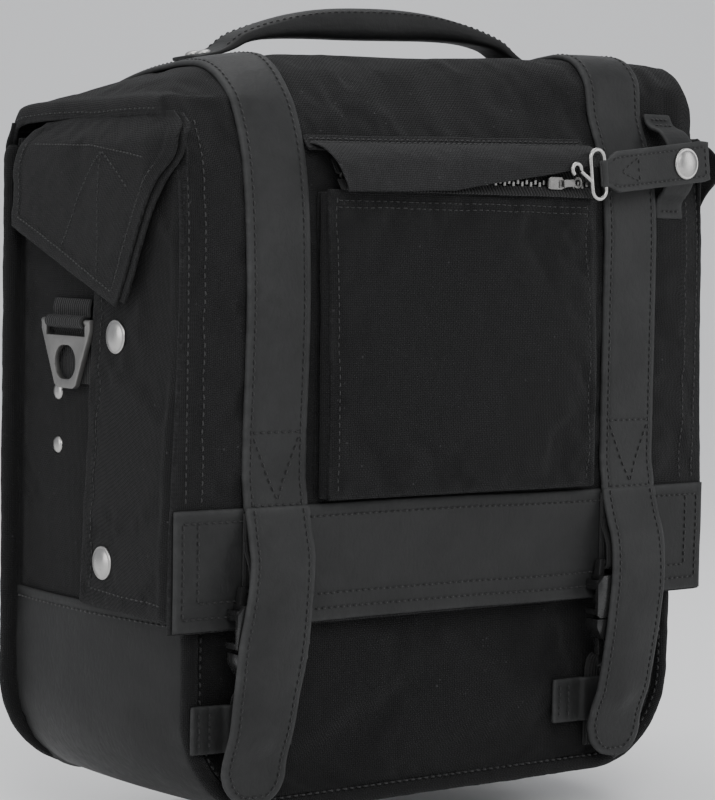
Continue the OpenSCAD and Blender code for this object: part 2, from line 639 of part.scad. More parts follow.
// (y, z) sections of the lower rail and its hook
lower_rail_outline = [
  [rail_y, 66], [78.4, 66], [78.4, 73.6], [80.2, 73.6], [80.2, 71], [82.4, 71],
  [82.4, 81], [80.2, 81], [80.2, 78.4], [78.4, 78.4], [78.4, 86], [rail_y, 86]];
lower_hook_outline = [
  [78.8, 83.4], [78.8, 78.8], [79.8, 78.8], [79.8, 81.4], [82.8, 81.4], [82.8, 70.6],
  [79.8, 70.6], [79.8, 73.2], [78.8, 73.2], [78.8, 68.6], [85.8, 68.6], [85.8, 73.4],
  [94, 73.4], [97.4, 77], [97.4, 90], [93.6, 90], [93.6, 79], [92, 77.2],
  [85.8, 77.2], [85.8, 83.4]];
module lower_rail() color(alu_c) difference() {
  along_x(-70, 70) polygon(lower_rail_outline);
  rail_holes([-62, 62], 76);
}
module lower_hook() color(plastic_c) along_x(-11, 11) polygon(lower_hook_outline);

front_panel();
back_panel();
side_wall_left();
side_wall_right();
bottom_wall();
boot_left();
boot_right();
base_panel();
edge_piping();
lining();
back_stiffener();
base_board();
lower_webbings();
keeper_tabs();
ring_webbings();
side_rivets();
wing_studs();
mount_rail();
rail_screws();
rack_hooks();
lower_rail();
lid_panel();
strap_tops();
handle_pads();
handle_rivets();
handle_grip();
flap_front();
leather_band();
strap_fronts();
pocket_face();
pocket_bellows();
storm_flap();
zip_tape();
zip_chain();
lock_loop();
lock_stud();
upper_webbings();
buckle_females();
wing_left();
wing_right();
wing_snaps_left();
wing_snaps_right();
ear_left();
ear_right();
tail_left();
tail_right();
buckle_male_left();
buckle_male_right();
male_webbing_left();
male_webbing_right();
zip_slider();
zip_puller();
lock_tab();
lock_snap();
wire_hook();
ring_left();
ring_right();
latch_left();
latch_right();
lower_hook();
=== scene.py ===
# A pannier bag: woven body, lid and flap; leather boot, straps, band and handle; webbing,
# nickel hardware and moulded buckles. X points right, Y back and Z up, and the bag stands
# on z = 0. Lengths are in millimetres and become metres when a mesh is made. Materials,
# lights and the camera are in metres.
import math
import bmesh
import bpy
import numpy as np
from mathutils import Matrix, Vector


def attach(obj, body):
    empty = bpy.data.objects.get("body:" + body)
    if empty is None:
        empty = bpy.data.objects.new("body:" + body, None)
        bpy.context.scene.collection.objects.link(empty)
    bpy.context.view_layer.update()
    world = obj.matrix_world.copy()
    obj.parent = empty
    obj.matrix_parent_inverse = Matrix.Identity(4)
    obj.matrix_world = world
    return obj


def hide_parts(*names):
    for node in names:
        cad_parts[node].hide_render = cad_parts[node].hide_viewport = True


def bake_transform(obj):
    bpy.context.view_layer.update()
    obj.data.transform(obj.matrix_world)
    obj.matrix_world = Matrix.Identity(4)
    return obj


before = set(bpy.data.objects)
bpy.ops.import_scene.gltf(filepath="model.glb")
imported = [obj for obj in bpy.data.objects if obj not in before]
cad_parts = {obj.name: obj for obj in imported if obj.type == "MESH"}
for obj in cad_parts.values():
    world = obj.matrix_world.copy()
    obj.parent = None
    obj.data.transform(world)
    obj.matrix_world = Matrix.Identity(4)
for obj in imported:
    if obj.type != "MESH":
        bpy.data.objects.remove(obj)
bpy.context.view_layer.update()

SCENE = bpy.context.scene
SIDES = ((1, "right"), (-1, "left"))

# ------------------------------------------------------------------ driving sizes
BAG_CENTRE = (0, 0, 190)
FRONT_HALF, BACK_HALF = 157.0, 171.0    # half widths of the body at its front and back
SIDE_BULGE = 5.5
MOUTH_Z = 343.0
CORNER_R = 50.0                         # lower corners, seen from the front
FRONT_Y, BACK_Y = -71.5, 71.5
FLAP_Y = -87.0                          # face of the hanging flap
STRAP_X, STRAP_W = 117.0, 38.0
WEB_DX = -7.0                           # buckle webbing from the strap's middle
LID_HALF = 171.4
SWELL_Z = 361                           # the crown of the lid falls away above this height
BODY_T, BOOT_T, STRAP_T = 2.6, 2.3, 2.8
BOOT_OUT = 2.8                          # the boot's outer face, outside the body
SEAM_IN = 3.4                           # strap stitches in from the edge
GROOVE_W = 0.9                          # width of the dent a row of stitches makes


# ------------------------------------------------------------------ numbers
def unit(v):
    return v / np.maximum(np.linalg.norm(v, axis=-1, keepdims=True), 1e-12)


def hashed(i, j, seed):
    return np.mod(np.sin(i * 127.1 + j * 311.7 + seed * 74.7) * 43758.5453, 1.0)


def noise(x, y, seed=0):
    """smooth value noise, about -1 to 1, one cell per unit"""
    x, y = np.broadcast_arrays(np.asarray(x, float), np.asarray(y, float))
    xi, yi = np.floor(x), np.floor(y)
    xf, yf = x - xi, y - yi
    xf, yf = xf * xf * (3 - 2 * xf), yf * yf * (3 - 2 * yf)
    low = hashed(xi, yi, seed) * (1 - xf) + hashed(xi + 1, yi, seed) * xf
    high = hashed(xi, yi + 1, seed) * (1 - xf) + hashed(xi + 1, yi + 1, seed) * xf
    return 2 * (low * (1 - yf) + high * yf) - 1


def fbm(x, y, seed=0, octaves=3):
    """layers of noise, each twice as fine and half as strong"""
    total, amp, amps = 0.0, 1.0, 0.0
    for o in range(octaves):
        total = total + amp * noise(np.asarray(x) * 2 ** o, np.asarray(y) * 2 ** o, seed + 17 * o)
        amps += amp
        amp *= 0.5
    return total / amps


def ease(x, start, end):
    """0 before start, 1 after end, smooth between"""
    t = np.clip((np.asarray(x, float) - start) / (end - start), 0, 1)
    return t * t * (3 - 2 * t)


def bell(x, width):
    return np.exp(-(x / width) ** 2)


def fade(x, width):
    return np.exp(-x / width)


def run(path):
    """length along a path, at each of its points"""
    return np.concatenate([[0], np.cumsum(np.linalg.norm(np.diff(path, axis=0), axis=1))])


def resample(path, step=None, n=None):
    path = np.array(path, float)
    length = run(path)
    if n is None:
        n = max(2, int(round(length[-1] / step)) + 1)
    t = np.linspace(0, length[-1], n)
    return np.stack([np.interp(t, length, path[:, k]) for k in range(path.shape[1])], 1)


def smooth(points, step=None, n=None):
    """smooth curve through the points, evenly resampled"""
    points = np.array(points, float)
    parts = 12
    d = np.diff(points, axis=0)
    h = np.linalg.norm(d, axis=1)[:, None]
    v = d / h
    slope = np.empty_like(points)
    slope[0], slope[-1] = v[0], v[-1]
    slope[1:-1] = (v[:-1] * h[1:] + v[1:] * h[:-1]) / (h[:-1] + h[1:])
    f = (np.arange(parts) / parts)[None, :, None]
    p0, p1 = points[:-1, None], points[1:, None]
    m0, m1 = slope[:-1, None] * h[:, None], slope[1:, None] * h[:, None]
    curve = ((2 * f ** 3 - 3 * f ** 2 + 1) * p0 + (f ** 3 - 2 * f ** 2 + f) * m0
             + (-2 * f ** 3 + 3 * f ** 2) * p1 + (f ** 3 - f ** 2) * m1)
    curve = np.concatenate([curve.reshape(-1, points.shape[1]), points[-1:]])
    return resample(curve, step, n)


def refine_axis(points, k, axis):
    """k times finer along one axis, smooth between the points"""
    points = np.moveaxis(np.asarray(points, float), axis, 0)
    n = len(points)
    t = np.linspace(0, n - 1, (n - 1) * k + 1)
    i = np.clip(np.floor(t).astype(int), 0, n - 2)
    f = (t - i).reshape((-1,) + (1,) * (points.ndim - 1))
    wide = np.concatenate([2 * points[:1] - points[1:2], points, 2 * points[-1:] - points[-2:-1]])
    a, b, c, d = wide[i], wide[i + 1], wide[i + 2], wide[i + 3]
    out = 0.5 * (2 * b + (c - a) * f + (2 * a - 5 * b + 4 * c - d) * f ** 2
                 + (3 * b - a - 3 * c + d) * f ** 3)
    return np.moveaxis(out, 0, axis)


def refine(points, along=2, across=2):
    return refine_axis(refine_axis(points, along, 0), across, 1)


def relax(values, times):
    """evens out a list of values in place, ends held"""
    for _ in range(times):
        values[1:-1] = (values[:-2] + 2 * values[1:-1] + values[2:]) / 4
    return values


def perpendicular(v):
    side = np.cross(v, [0, 0, 1.0])
    if np.linalg.norm(side) < 1e-3:
        side = np.cross(v, [0, 1.0, 0])
    return unit(side)


# ------------------------------------------------------------------ meshes
def mesh(name, verts, faces, uv=None, edge=None):
    """object from verts in mm, faces as an array of quads or a list, and uv per vertex in mm"""
    me = bpy.data.meshes.new(name)
    counts = np.array([len(f) for f in faces], np.int32)
    loops = np.array([i for f in faces for i in f], np.int32)
    me.vertices.add(len(verts))
    coords = np.asarray(verts, float) * 0.001
    me.vertices.foreach_set("co", coords.astype(np.float32).ravel())
    me.loops.add(len(loops))
    me.loops.foreach_set("vertex_index", loops)
    me.polygons.add(len(counts))
    starts = np.concatenate([[0], np.cumsum(counts)[:-1]]).astype(np.int32)
    me.polygons.foreach_set("loop_start", starts)
    me.polygons.foreach_set("loop_total", counts)
    me.polygons.foreach_set("use_smooth", np.full(len(counts), True))
    if uv is not None:
        layer = me.uv_layers.new(name="UVMap")
        per_loop = np.asarray(uv, float)[loops] * 0.001
        layer.data.foreach_set("uv", per_loop.astype(np.float32).ravel())
    if edge is not None:
        attribute = me.attributes.new("edge", "FLOAT", "POINT")
        attribute.data.foreach_set("value", np.asarray(edge, np.float32))
    me.validate()
    me.update()
    o = bpy.data.objects.new(name, me)
    SCENE.collection.objects.link(o)
    return o


def quads(rows, cols, offset=0, flip=False):
    i, j = np.meshgrid(np.arange(rows - 1), np.arange(cols - 1), indexing="ij")
    a = (i * cols + j).ravel() + offset
    f = np.stack([a, a + cols, a + cols + 1, a + 1], 1)
    return f[:, ::-1] if flip else f


def ring_faces(rings, seg):
    """faces of a capped bar made of closed rings"""
    i, j = np.meshgrid(np.arange(rings - 1), np.arange(seg), indexing="ij")
    a, b = (i * seg + j).ravel(), (i * seg + (j + 1) % seg).ravel()
    faces = np.stack([a, b, b + seg, a + seg], 1).tolist()
    faces.append(list(range(seg))[::-1])
    faces.append([(rings - 1) * seg + k for k in range(seg)])
    return faces


class Sheet:
    """grid of points, rows along and columns across, with normals facing away from a point"""

    def __init__(self, points, away_from=BAG_CENTRE):
        self.away_from = np.array(away_from, float)
        self.update(points)

    def update(self, points):
        self.points = points = np.asarray(points, float)
        normals = unit(np.cross(np.gradient(points, axis=0), np.gradient(points, axis=1)))
        facing = np.sign(np.sum(normals * (points - self.away_from)))
        self.flip = facing < 0
        self.normals = normals * facing
        rows, cols = points.shape[:2]
        self.along, self.across = run(points[:, cols // 2]), run(points[rows // 2])
        self.length, self.width = self.along[-1], self.across[-1]

    def turn_over(self):
        self.normals = -self.normals
        self.flip = not self.flip

    def measure(self):
        """distance along, distance across, and gap to the nearer side edge"""
        along, across = np.meshgrid(self.along, self.across, indexing="ij")
        return along, across, np.minimum(across, self.width - across)

    def bump(self, height):
        """moves the points out along their normals, then renews the normals"""
        self.update(self.points + self.normals * np.asarray(height)[..., None])

    def at(self, row, col):
        """points and normals at fractional rows and columns"""
        rows, cols = self.points.shape[:2]
        row, col = np.clip(row, 0, rows - 1.0001), np.clip(col, 0, cols - 1.0001)
        i, j = row.astype(int), col.astype(int)
        f, g = (row - i)[:, None], (col - j)[:, None]

        def blend(values):
            near = values[i, j] * (1 - f) * (1 - g) + values[i + 1, j] * f * (1 - g)
            return near + values[i, j + 1] * (1 - f) * g + values[i + 1, j + 1] * f * g

        return blend(self.points), unit(blend(self.normals))

    def line(self, points, n=60, shares=False):
        """points and normals along a polyline in (along, across) mm, or in shares of the sheet"""
        path = resample(points, n=n)
        rows, cols = self.points.shape[:2]
        if shares:
            return self.at(path[:, 0] * (rows - 1), path[:, 1] * (cols - 1))
        return self.at(np.interp(path[:, 0], self.along, np.arange(rows)),
                       np.interp(path[:, 1], self.across, np.arange(cols)))

    def solid(self, name, thick, wear=2.2, uv_shift=(0, 0)):
        """closed piece below the outer face, with round rims; wear is the worn edge's width"""
        points, normals = self.points, self.normals
        rows, cols = points.shape[:2]
        count, rim = rows * cols, 3
        idx = np.arange(count).reshape(rows, cols)
        border = np.concatenate([idx[:-1, 0], idx[-1, :-1], idx[:0:-1, -1], idx[0, :0:-1]])
        r, c = border // cols, border % cols
        rim_p, rim_n = points[r, c], normals[r, c]
        out = rim_p - points[np.clip(r, 1, rows - 2), np.clip(c, 1, cols - 2)]
        out = unit(out - np.sum(out * rim_n, -1, keepdims=True) * rim_n)
        mid = rim_p - rim_n * thick / 2
        verts = [points.reshape(-1, 3), (points - normals * thick).reshape(-1, 3)]
        rings = [border]
        for k in range(rim):
            turn = math.pi * (k + 1) / (rim + 1)
            verts.append(mid + rim_n * (thick / 2) * math.cos(turn)
                         + out * (thick / 2) * math.sin(turn))
            rings.append(2 * count + k * len(border) + np.arange(len(border)))
        rings.append(border + count)
        faces = [quads(rows, cols, 0, self.flip), quads(rows, cols, count, not self.flip)]
        for a, b in zip(rings[:-1], rings[1:]):
            q = np.stack([np.roll(a, -1), a, b, np.roll(b, -1)], 1)
            faces.append(q[:, ::-1] if self.flip else q)
        verts = np.concatenate(verts)
        verts[:, 2] = np.maximum(verts[:, 2], 0.05)
        # lengths along and across, for the weave and the worn edges
        step_a = np.linalg.norm(np.diff(points, axis=0), axis=2)
        step_b = np.linalg.norm(np.diff(points, axis=1), axis=2)
        la = np.concatenate([np.zeros((1, cols)), np.cumsum(step_a, 0)])
        lb = np.concatenate([np.zeros((rows, 1)), np.cumsum(step_b, 1)], 1)
        gap = np.minimum(np.minimum(la, la[-1:] - la), np.minimum(lb, lb[:, -1:] - lb))
        uv = np.stack([lb - lb[:, cols // 2:cols // 2 + 1], la], -1) + np.array(uv_shift, float)
        uv = uv.reshape(-1, 2)
        worn = fade(gap, wear).ravel()
        uvs = [uv, uv] + [uv[border] + (k + 1) * 0.35 for k in range(rim)]
        edge = np.concatenate([worn, worn * 0.6] + [np.ones(len(border))] * rim)
        return mesh(name, verts, np.concatenate(faces), np.concatenate(uvs), edge)


def grid(f, first, second):
    """points f(a, b) over two lists, as a grid"""
    a, b = np.meshgrid(first, second, indexing="ij")
    return np.stack(np.broadcast_arrays(*f(a, b)), -1).astype(float)


def sweep_x(path, xs):
    """grid of a (y, z) path repeated at each x"""
    return grid(lambda k, x: (x, path[k, 0], path[k, 1]), np.arange(len(path)), xs)


def coons(top, bottom, left, right):
    """patch between four edges: top and bottom run left to right, the others top to bottom"""
    u = np.linspace(0, 1, len(top))[None, :, None]
    v = np.linspace(0, 1, len(left))[:, None, None]
    corners = ((1 - u) * (1 - v) * top[0] + u * (1 - v) * top[-1]
               + (1 - u) * v * bottom[0] + u * v * bottom[-1])
    return ((1 - v) * top[None] + v * bottom[None]
            + (1 - u) * left[:, None] + u * right[:, None] - corners)


def fix_normals(o):
    bm = bmesh.new()
    bm.from_mesh(o.data)
    bmesh.ops.recalc_face_normals(bm, faces=bm.faces)
    bm.to_mesh(o.data)
    bm.free()
    o.data.update()


def crinkled_tube(name, path, radius, seg, crinkle, wave, seed):
    """round bar along a path, one radius per point, carried along without twist"""
    tangents = unit(np.gradient(path, axis=0))
    ups = [perpendicular(tangents[0])]
    for t in tangents[1:]:
        v = ups[-1] - np.dot(ups[-1], t) * t
        ups.append(v / np.linalg.norm(v))
    ups = np.array(ups)
    sides = np.cross(tangents, ups)
    n = len(path)
    s = run(path)
    ang = np.linspace(0, 2 * math.pi, seg, endpoint=False)
    round_waves = max(1.0, np.round(2 * math.pi * radius.mean() / wave))
    around = np.abs(((ang / math.pi) % 2) - 1)[None] * round_waves
    rr = radius[:, None] + crinkle * fbm(s[:, None] / wave, around, seed)
    spokes = (np.cos(ang)[None, :, None] * ups[:, None]
              + np.sin(ang)[None, :, None] * sides[:, None])
    verts = (path[:, None] + rr[..., None] * spokes).reshape(-1, 3)
    uv = np.stack([np.tile(ang * radius.mean(), n), np.repeat(s, seg)], 1)
    return mesh(name, verts, ring_faces(n, seg), uv, np.zeros(len(verts)))


def turned(name, profile, centre, axis, seg=40):
    """body of revolution; profile holds (radius, height along the axis)"""
    axis = unit(np.array(axis, float))
    e1 = perpendicular(axis)
    e2 = np.cross(axis, e1)
    ang = np.linspace(0, 2 * math.pi, seg, endpoint=False)
    spokes = np.cos(ang)[:, None] * e1 + np.sin(ang)[:, None] * e2
    centre = np.array(centre, float)
    v = np.concatenate([centre + axis * h + max(r, 0.02) * spokes for r, h in profile])
    uv = np.stack([v[:, 0] + v[:, 1], v[:, 2]], 1)
    o = mesh(name, v, ring_faces(len(profile), seg), uv, np.zeros(len(v)))
    fix_normals(o)
    return o


def join(name, objs):
    bpy.ops.object.select_all(action="DESELECT")
    for o in objs:
        o.select_set(True)
    bpy.context.view_layer.objects.active = objs[0]
    bpy.ops.object.join()
    objs[0].name = name
    objs[0].data.name = name
    return objs[0]


# One stitch: share of its length, share of its radius, and lift, at each of six rings
STITCH_AT = np.array([-0.5, -0.38, -0.15, 0.15, 0.38, 0.5])
STITCH_R = np.array([0.35, 0.9, 1.0, 1.0, 0.9, 0.35])
STITCH_LIFT = np.array([-1.0, -0.15, 0.35, 0.35, -0.15, -1.0]) * 0.28 * 1.6


def stitches(name, lines, pitch, length, radius, seed):
    """thread stitches laid along (points, normals) lines, as one mesh"""
    ang = np.linspace(0, 2 * math.pi, 6, endpoint=False)
    one = ring_faces(6, 6)
    verts, faces = [], []
    rng = np.random.RandomState(seed)
    for points, normals in lines:
        s = run(points)
        if s[-1] < length:
            continue

        def on_line(values, where):
            return np.array([np.interp(where, s, values[:, k]) for k in range(3)])

        n = max(1, int(s[-1] / pitch))
        for at in (np.arange(n) + 0.5) * (s[-1] / n):
            size = length * (1 + 0.08 * rng.uniform(-1, 1))
            out = unit(on_line(normals, at))
            t = unit(on_line(points, at + 0.5 * size) - on_line(points, at - 0.5 * size))
            t = unit(t + unit(np.cross(out, t)) * rng.uniform(-0.09, 0.09))
            side = unit(np.cross(out, t))
            core = (on_line(points, at) + out * (radius * 0.45)
                    + t * (STITCH_AT * size)[:, None] + out * STITCH_LIFT[:, None])
            spokes = np.cos(ang)[None, :, None] * out + np.sin(ang)[None, :, None] * side
            ring = core[:, None] + (STITCH_R * radius)[:, None, None] * spokes
            offset = 36 * len(verts)
            verts.append(ring.reshape(-1, 3))
            faces += [[k + offset for k in f] for f in one]
    v = np.concatenate(verts)
    uv = np.stack([v[:, 0] + 0.3 * v[:, 1], v[:, 2]], 1)
    o = mesh(name, v, faces, uv, np.zeros(len(v)))
    fix_normals(o)
    return o


# ------------------------------------------------------------------ cloth
SETTLE_FRAMES = 20


def soft_limit(h, low, high):
    return np.where(h > 0, high * np.tanh(h / high), low * np.tanh(h / low))


def border_pin(rows, cols, width=1):
    """1 on the border of a grid, 0 inside"""
    pin = np.ones((rows, cols))
    pin[width:-width, width:-width] = 0
    return pin


def cloth(points, pin, grow, limits, seed, bend, pressure=0.0, away_from=BAG_CENTRE):
    """settles a coarse grid as cloth with its pinned points held, and returns the grid.
    Movement along the normals is kept within limits (mm)."""
    sheet = Sheet(points, away_from)
    rows, cols = points.shape[:2]
    a, b = np.meshgrid(np.arange(rows), np.arange(cols), indexing="ij")
    kick = 0.35 * fbm(a / 3.1, b / 3.7, seed, octaves=2) * (1 - pin)
    start = sheet.points + sheet.normals * kick[..., None]
    o = mesh("cloth_tmp", start.reshape(-1, 3), quads(rows, cols, 0, sheet.flip))
    group = o.vertex_groups.new(name="pin")
    weights = np.round(pin.ravel(), 2)
    for level in np.unique(weights):
        if level > 0:
            chosen = np.nonzero(np.abs(weights - level) < 1e-6)[0]
            group.add([int(k) for k in chosen], float(level), "REPLACE")
    m = o.modifiers.new("cloth", "CLOTH")
    s = m.settings
    s.quality = 5
    s.mass = 0.25
    s.air_damping = 2.0
    s.tension_stiffness = 18
    s.compression_stiffness = 18
    s.shear_stiffness = 9
    s.bending_stiffness = bend
    s.tension_damping = 15
    s.compression_damping = 15
    s.shear_damping = 12
    s.vertex_group_mass = "pin"
    s.pin_stiffness = 1.0
    s.shrink_min = -grow
    s.effector_weights.gravity = 0
    if pressure:
        s.use_pressure = True
        s.uniform_pressure_force = pressure
    m.collision_settings.use_collision = False
    m.collision_settings.use_self_collision = False
    m.point_cache.frame_start, m.point_cache.frame_end = 1, SETTLE_FRAMES
    for f in range(1, SETTLE_FRAMES + 1):
        SCENE.frame_set(f)
    settled = o.evaluated_get(bpy.context.evaluated_depsgraph_get())
    co = np.zeros(len(settled.data.vertices) * 3, np.float32)
    settled.data.vertices.foreach_get("co", co)
    moved = co.reshape(rows, cols, 3).astype(float) * 1000 - sheet.points
    SCENE.frame_set(1)
    bpy.data.objects.remove(o)
    out = np.sum(moved * sheet.normals, -1)
    slide = moved - out[..., None] * sheet.normals
    reach = np.linalg.norm(slide, axis=-1, keepdims=True)
    slide = slide * np.minimum(1, 2.5 / np.maximum(reach, 1e-9))
    return sheet.points + slide + soft_limit(out, *limits)[..., None] * sheet.normals


# ------------------------------------------------------------------ materials
class Shader:
    """a material and short calls for its nodes"""

    def __init__(self, name):
        self.material = bpy.data.materials.new(name)
        self.material.use_nodes = True
        self.tree = self.material.node_tree
        self.tree.nodes.clear()

    def node(self, kind, **settings):
        x = self.tree.nodes.new(kind)
        for key, value in settings.items():
            setattr(x, key, value)
        return x

    def put(self, value, socket):
        if isinstance(value, bpy.types.NodeSocket):
            self.tree.links.new(value, socket)
        else:
            socket.default_value = value

    def math(self, op, *values):
        x = self.node("ShaderNodeMath", operation=op)
        for value, socket in zip(values, x.inputs):
            self.put(value, socket)
        return x.outputs[0]

    def add(self, a, b):
        return self.math("ADD", a, b)

    def times(self, first, *others):
        for other in others:
            first = self.math("MULTIPLY", first, other)
        return first

    def level(self, value, gain, base):
        return self.math("MULTIPLY_ADD", value, gain, base)

    def ridges(self, value):
        """one round ridge per unit"""
        return self.math("ABSOLUTE", self.math("SINE", self.times(value, math.pi)))

    def coords(self, kind):
        return self.node("ShaderNodeTexCoord").outputs[kind]

    def edge(self):
        return self.node("ShaderNodeAttribute", attribute_name="edge").outputs["Fac"]

    def split(self, vector):
        x = self.node("ShaderNodeSeparateXYZ")
        self.put(vector, x.inputs[0])
        return x.outputs[0], x.outputs[1]

    def stretch(self, vector, x, y, z=1.0):
        n = self.node("ShaderNodeVectorMath", operation="MULTIPLY")
        self.put(vector, n.inputs[0])
        n.inputs[1].default_value = (x, y, z)
        return n.outputs[0]

    def noise(self, vector, scale, detail=2.0, rough=0.5, distort=0.0):
        x = self.node("ShaderNodeTexNoise")
        self.put(vector, x.inputs["Vector"])
        x.inputs["Scale"].default_value = scale
        x.inputs["Detail"].default_value = detail
        x.inputs["Roughness"].default_value = rough
        x.inputs["Distortion"].default_value = distort
        return x.outputs[0]

    def cells(self, vector, scale, feature="F1"):
        x = self.node("ShaderNodeTexVoronoi", feature=feature)
        self.put(vector, x.inputs["Vector"])
        x.inputs["Scale"].default_value = scale
        return x.outputs["Distance"]

    def remap(self, value, start, end, low=0.0, high=1.0):
        x = self.node("ShaderNodeMapRange")
        for k, v in enumerate((value, start, end, low, high)):
            self.put(v, x.inputs[k])
        return x.outputs[0]

    def bump(self, height, distance, strength, normal=None):
        x = self.node("ShaderNodeBump")
        x.inputs["Strength"].default_value = strength
        x.inputs["Distance"].default_value = distance
        self.put(height, x.inputs["Height"])
        if normal is not None:
            self.put(normal, x.inputs["Normal"])
        return x.outputs[0]

    def colour(self, value, tint=None):
        """grey from a value, each channel weighted by tint if given"""
        x = self.node("ShaderNodeCombineColor")
        for k in range(3):
            self.put(self.times(value, tint[k]) if tint else value, x.inputs[k])
        return x.outputs[0]

    def finish(self, colour, rough, normal, metallic=0.0, spec=0.5, sheen=0.0, sheen_rough=0.5):
        x = self.node("ShaderNodeBsdfPrincipled")
        for value, socket in ((colour, "Base Color"), (rough, "Roughness"), (normal, "Normal"),
                              (metallic, "Metallic"), (spec, "Specular IOR Level"),
                              (sheen, "Sheen Weight"), (sheen_rough, "Sheen Roughness")):
            self.put(value, x.inputs[socket])
        end = self.node("ShaderNodeOutputMaterial")
        self.put(x.outputs[0], end.inputs["Surface"])
        return self.material


def weave(s, uv, pitch):
    """height of a plain weave and which thread is on top; pitch is the thread spacing"""
    x, y = s.split(uv)
    wobble_u = s.noise(uv, scale=260)
    wobble_v = s.noise(s.stretch(uv, 1.0, 1.0), scale=90, detail=1)
    u = s.add(s.times(x, 1 / pitch), s.times(wobble_u, 0.55))
    v = s.add(s.times(y, 1 / pitch), s.times(wobble_v, 0.8))
    ridge_u, ridge_v = s.ridges(u), s.ridges(v)
    over = s.math("FLOORED_MODULO", s.add(s.math("FLOOR", u), s.math("FLOOR", v)), 2.0)
    warp = s.times(ridge_u, s.level(ridge_v, gain=0.45, base=0.55))
    weft = s.times(ridge_v, s.level(ridge_u, gain=0.45, base=0.55))
    height = s.add(s.times(warp, s.math("SUBTRACT", 1.0, over)), s.times(weft, over))
    return height, over


def fabric(name, tone, pitch=0.00115, wear=0.8):
    s = Shader(name)
    uv = s.coords("UV")
    height, over = weave(s, uv, pitch)
    cloud = s.noise(uv, scale=14, detail=4, rough=0.6)
    mottle = s.noise(uv, scale=130, detail=3, rough=0.6)
    yarn = s.noise(s.stretch(uv, 1.0, 0.12), scale=900, detail=1)
    lint = s.times(s.remap(s.cells(uv, scale=210), start=0.16, end=0.06),
                   s.remap(s.noise(uv, scale=75, detail=1), start=0.60, end=0.66))
    patchy = s.remap(s.noise(uv, scale=420, detail=3), start=0.35, end=0.7)
    worn = s.times(s.edge(), wear, patchy)
    value = s.times(s.level(height, gain=0.62, base=0.52), s.level(cloud, gain=0.55, base=0.74),
                    s.level(mottle, gain=0.6, base=0.70), s.level(over, gain=0.16, base=0.92),
                    s.level(yarn, gain=0.4, base=0.8), tone, s.level(worn, gain=0.9, base=1.0))
    value = s.add(value, s.times(lint, 0.028))
    soft = s.bump(s.noise(uv, scale=60, detail=3, rough=0.6), distance=0.0012, strength=0.35)
    normal = s.bump(height, distance=0.00042, strength=0.85, normal=soft)
    return s.finish(s.colour(value, tint=(1.0, 1.0, 1.02)), s.level(mottle, gain=0.2, base=0.72),
                    normal, spec=0.11, sheen=0.045, sheen_rough=0.45)


def leather(name, tone, wear=1.0):
    s = Shader(name)
    uv = s.coords("UV")
    cloud = s.noise(uv, scale=26, detail=5, rough=0.62, distort=0.4)
    mottle = s.noise(uv, scale=170, detail=4, rough=0.65)
    fine = s.noise(uv, scale=900, detail=3, rough=0.6)
    pore = s.cells(uv, scale=1050)
    crease = s.cells(s.stretch(uv, 1.0, 0.55), scale=240, feature="DISTANCE_TO_EDGE")
    value = s.times(s.level(cloud, gain=1.05, base=0.475), s.level(mottle, gain=0.7, base=0.65),
                    s.level(fine, gain=0.24, base=0.88),
                    s.remap(pore, start=0.0, end=0.35, low=0.86))
    scratch = s.noise(s.stretch(uv, 3.0, 0.25), scale=320, distort=1.2)
    value = s.add(value, s.times(s.remap(scratch, start=0.71, end=0.78), 0.28))
    patchy = s.noise(uv, scale=260, detail=4)
    worn = s.times(s.edge(), s.remap(patchy, start=0.28, end=0.62, low=0.35))
    value = s.times(value, s.level(worn, gain=0.85 * wear, base=1.0), tone)
    normal = s.bump(cloud, distance=0.0016, strength=0.35)
    normal = s.bump(s.remap(crease, start=0.0, end=0.25), distance=0.00012, strength=0.4,
                    normal=normal)
    normal = s.bump(s.add(s.times(pore, 0.7), s.times(fine, 0.8)), distance=0.00016,
                    strength=0.45, normal=normal)
    rough = s.add(s.level(mottle, gain=0.28, base=0.40), s.times(worn, 0.12))
    return s.finish(s.colour(value, tint=(0.985, 1.0, 1.0)), rough, normal, spec=0.20, sheen=0.01)


def webbing(name, tone, rib=0.0021, pick=0.0009):
    """rib and pick are the spacings across and along the webbing"""
    s = Shader(name)
    uv = s.coords("UV")
    x, y = s.split(uv)
    wobble = s.times(s.noise(uv, scale=300, detail=1), 0.35)
    ribs = s.ridges(s.add(s.times(x, 1 / rib), wobble))
    picks = s.ridges(s.add(s.times(y, 1 / pick), wobble))
    height = s.times(ribs, s.level(picks, gain=0.3, base=0.7))
    value = s.times(s.level(height, gain=0.7, base=0.45),
                    s.level(s.noise(uv, scale=160, detail=3), gain=0.6, base=0.7),
                    tone, s.level(s.edge(), gain=0.5, base=1.0))
    return s.finish(s.colour(value), 0.7, s.bump(height, distance=0.0006, strength=0.9),
                    spec=0.18, sheen=0.07)


def thread(name, tone):
    s = Shader(name)
    twist = s.noise(s.coords("Object"), scale=1400)
    value = s.times(s.level(twist, gain=0.8, base=0.6), tone)
    return s.finish(s.colour(value), 0.6, s.bump(twist, distance=0.0002, strength=0.7),
                    spec=0.4, sheen=0.1)


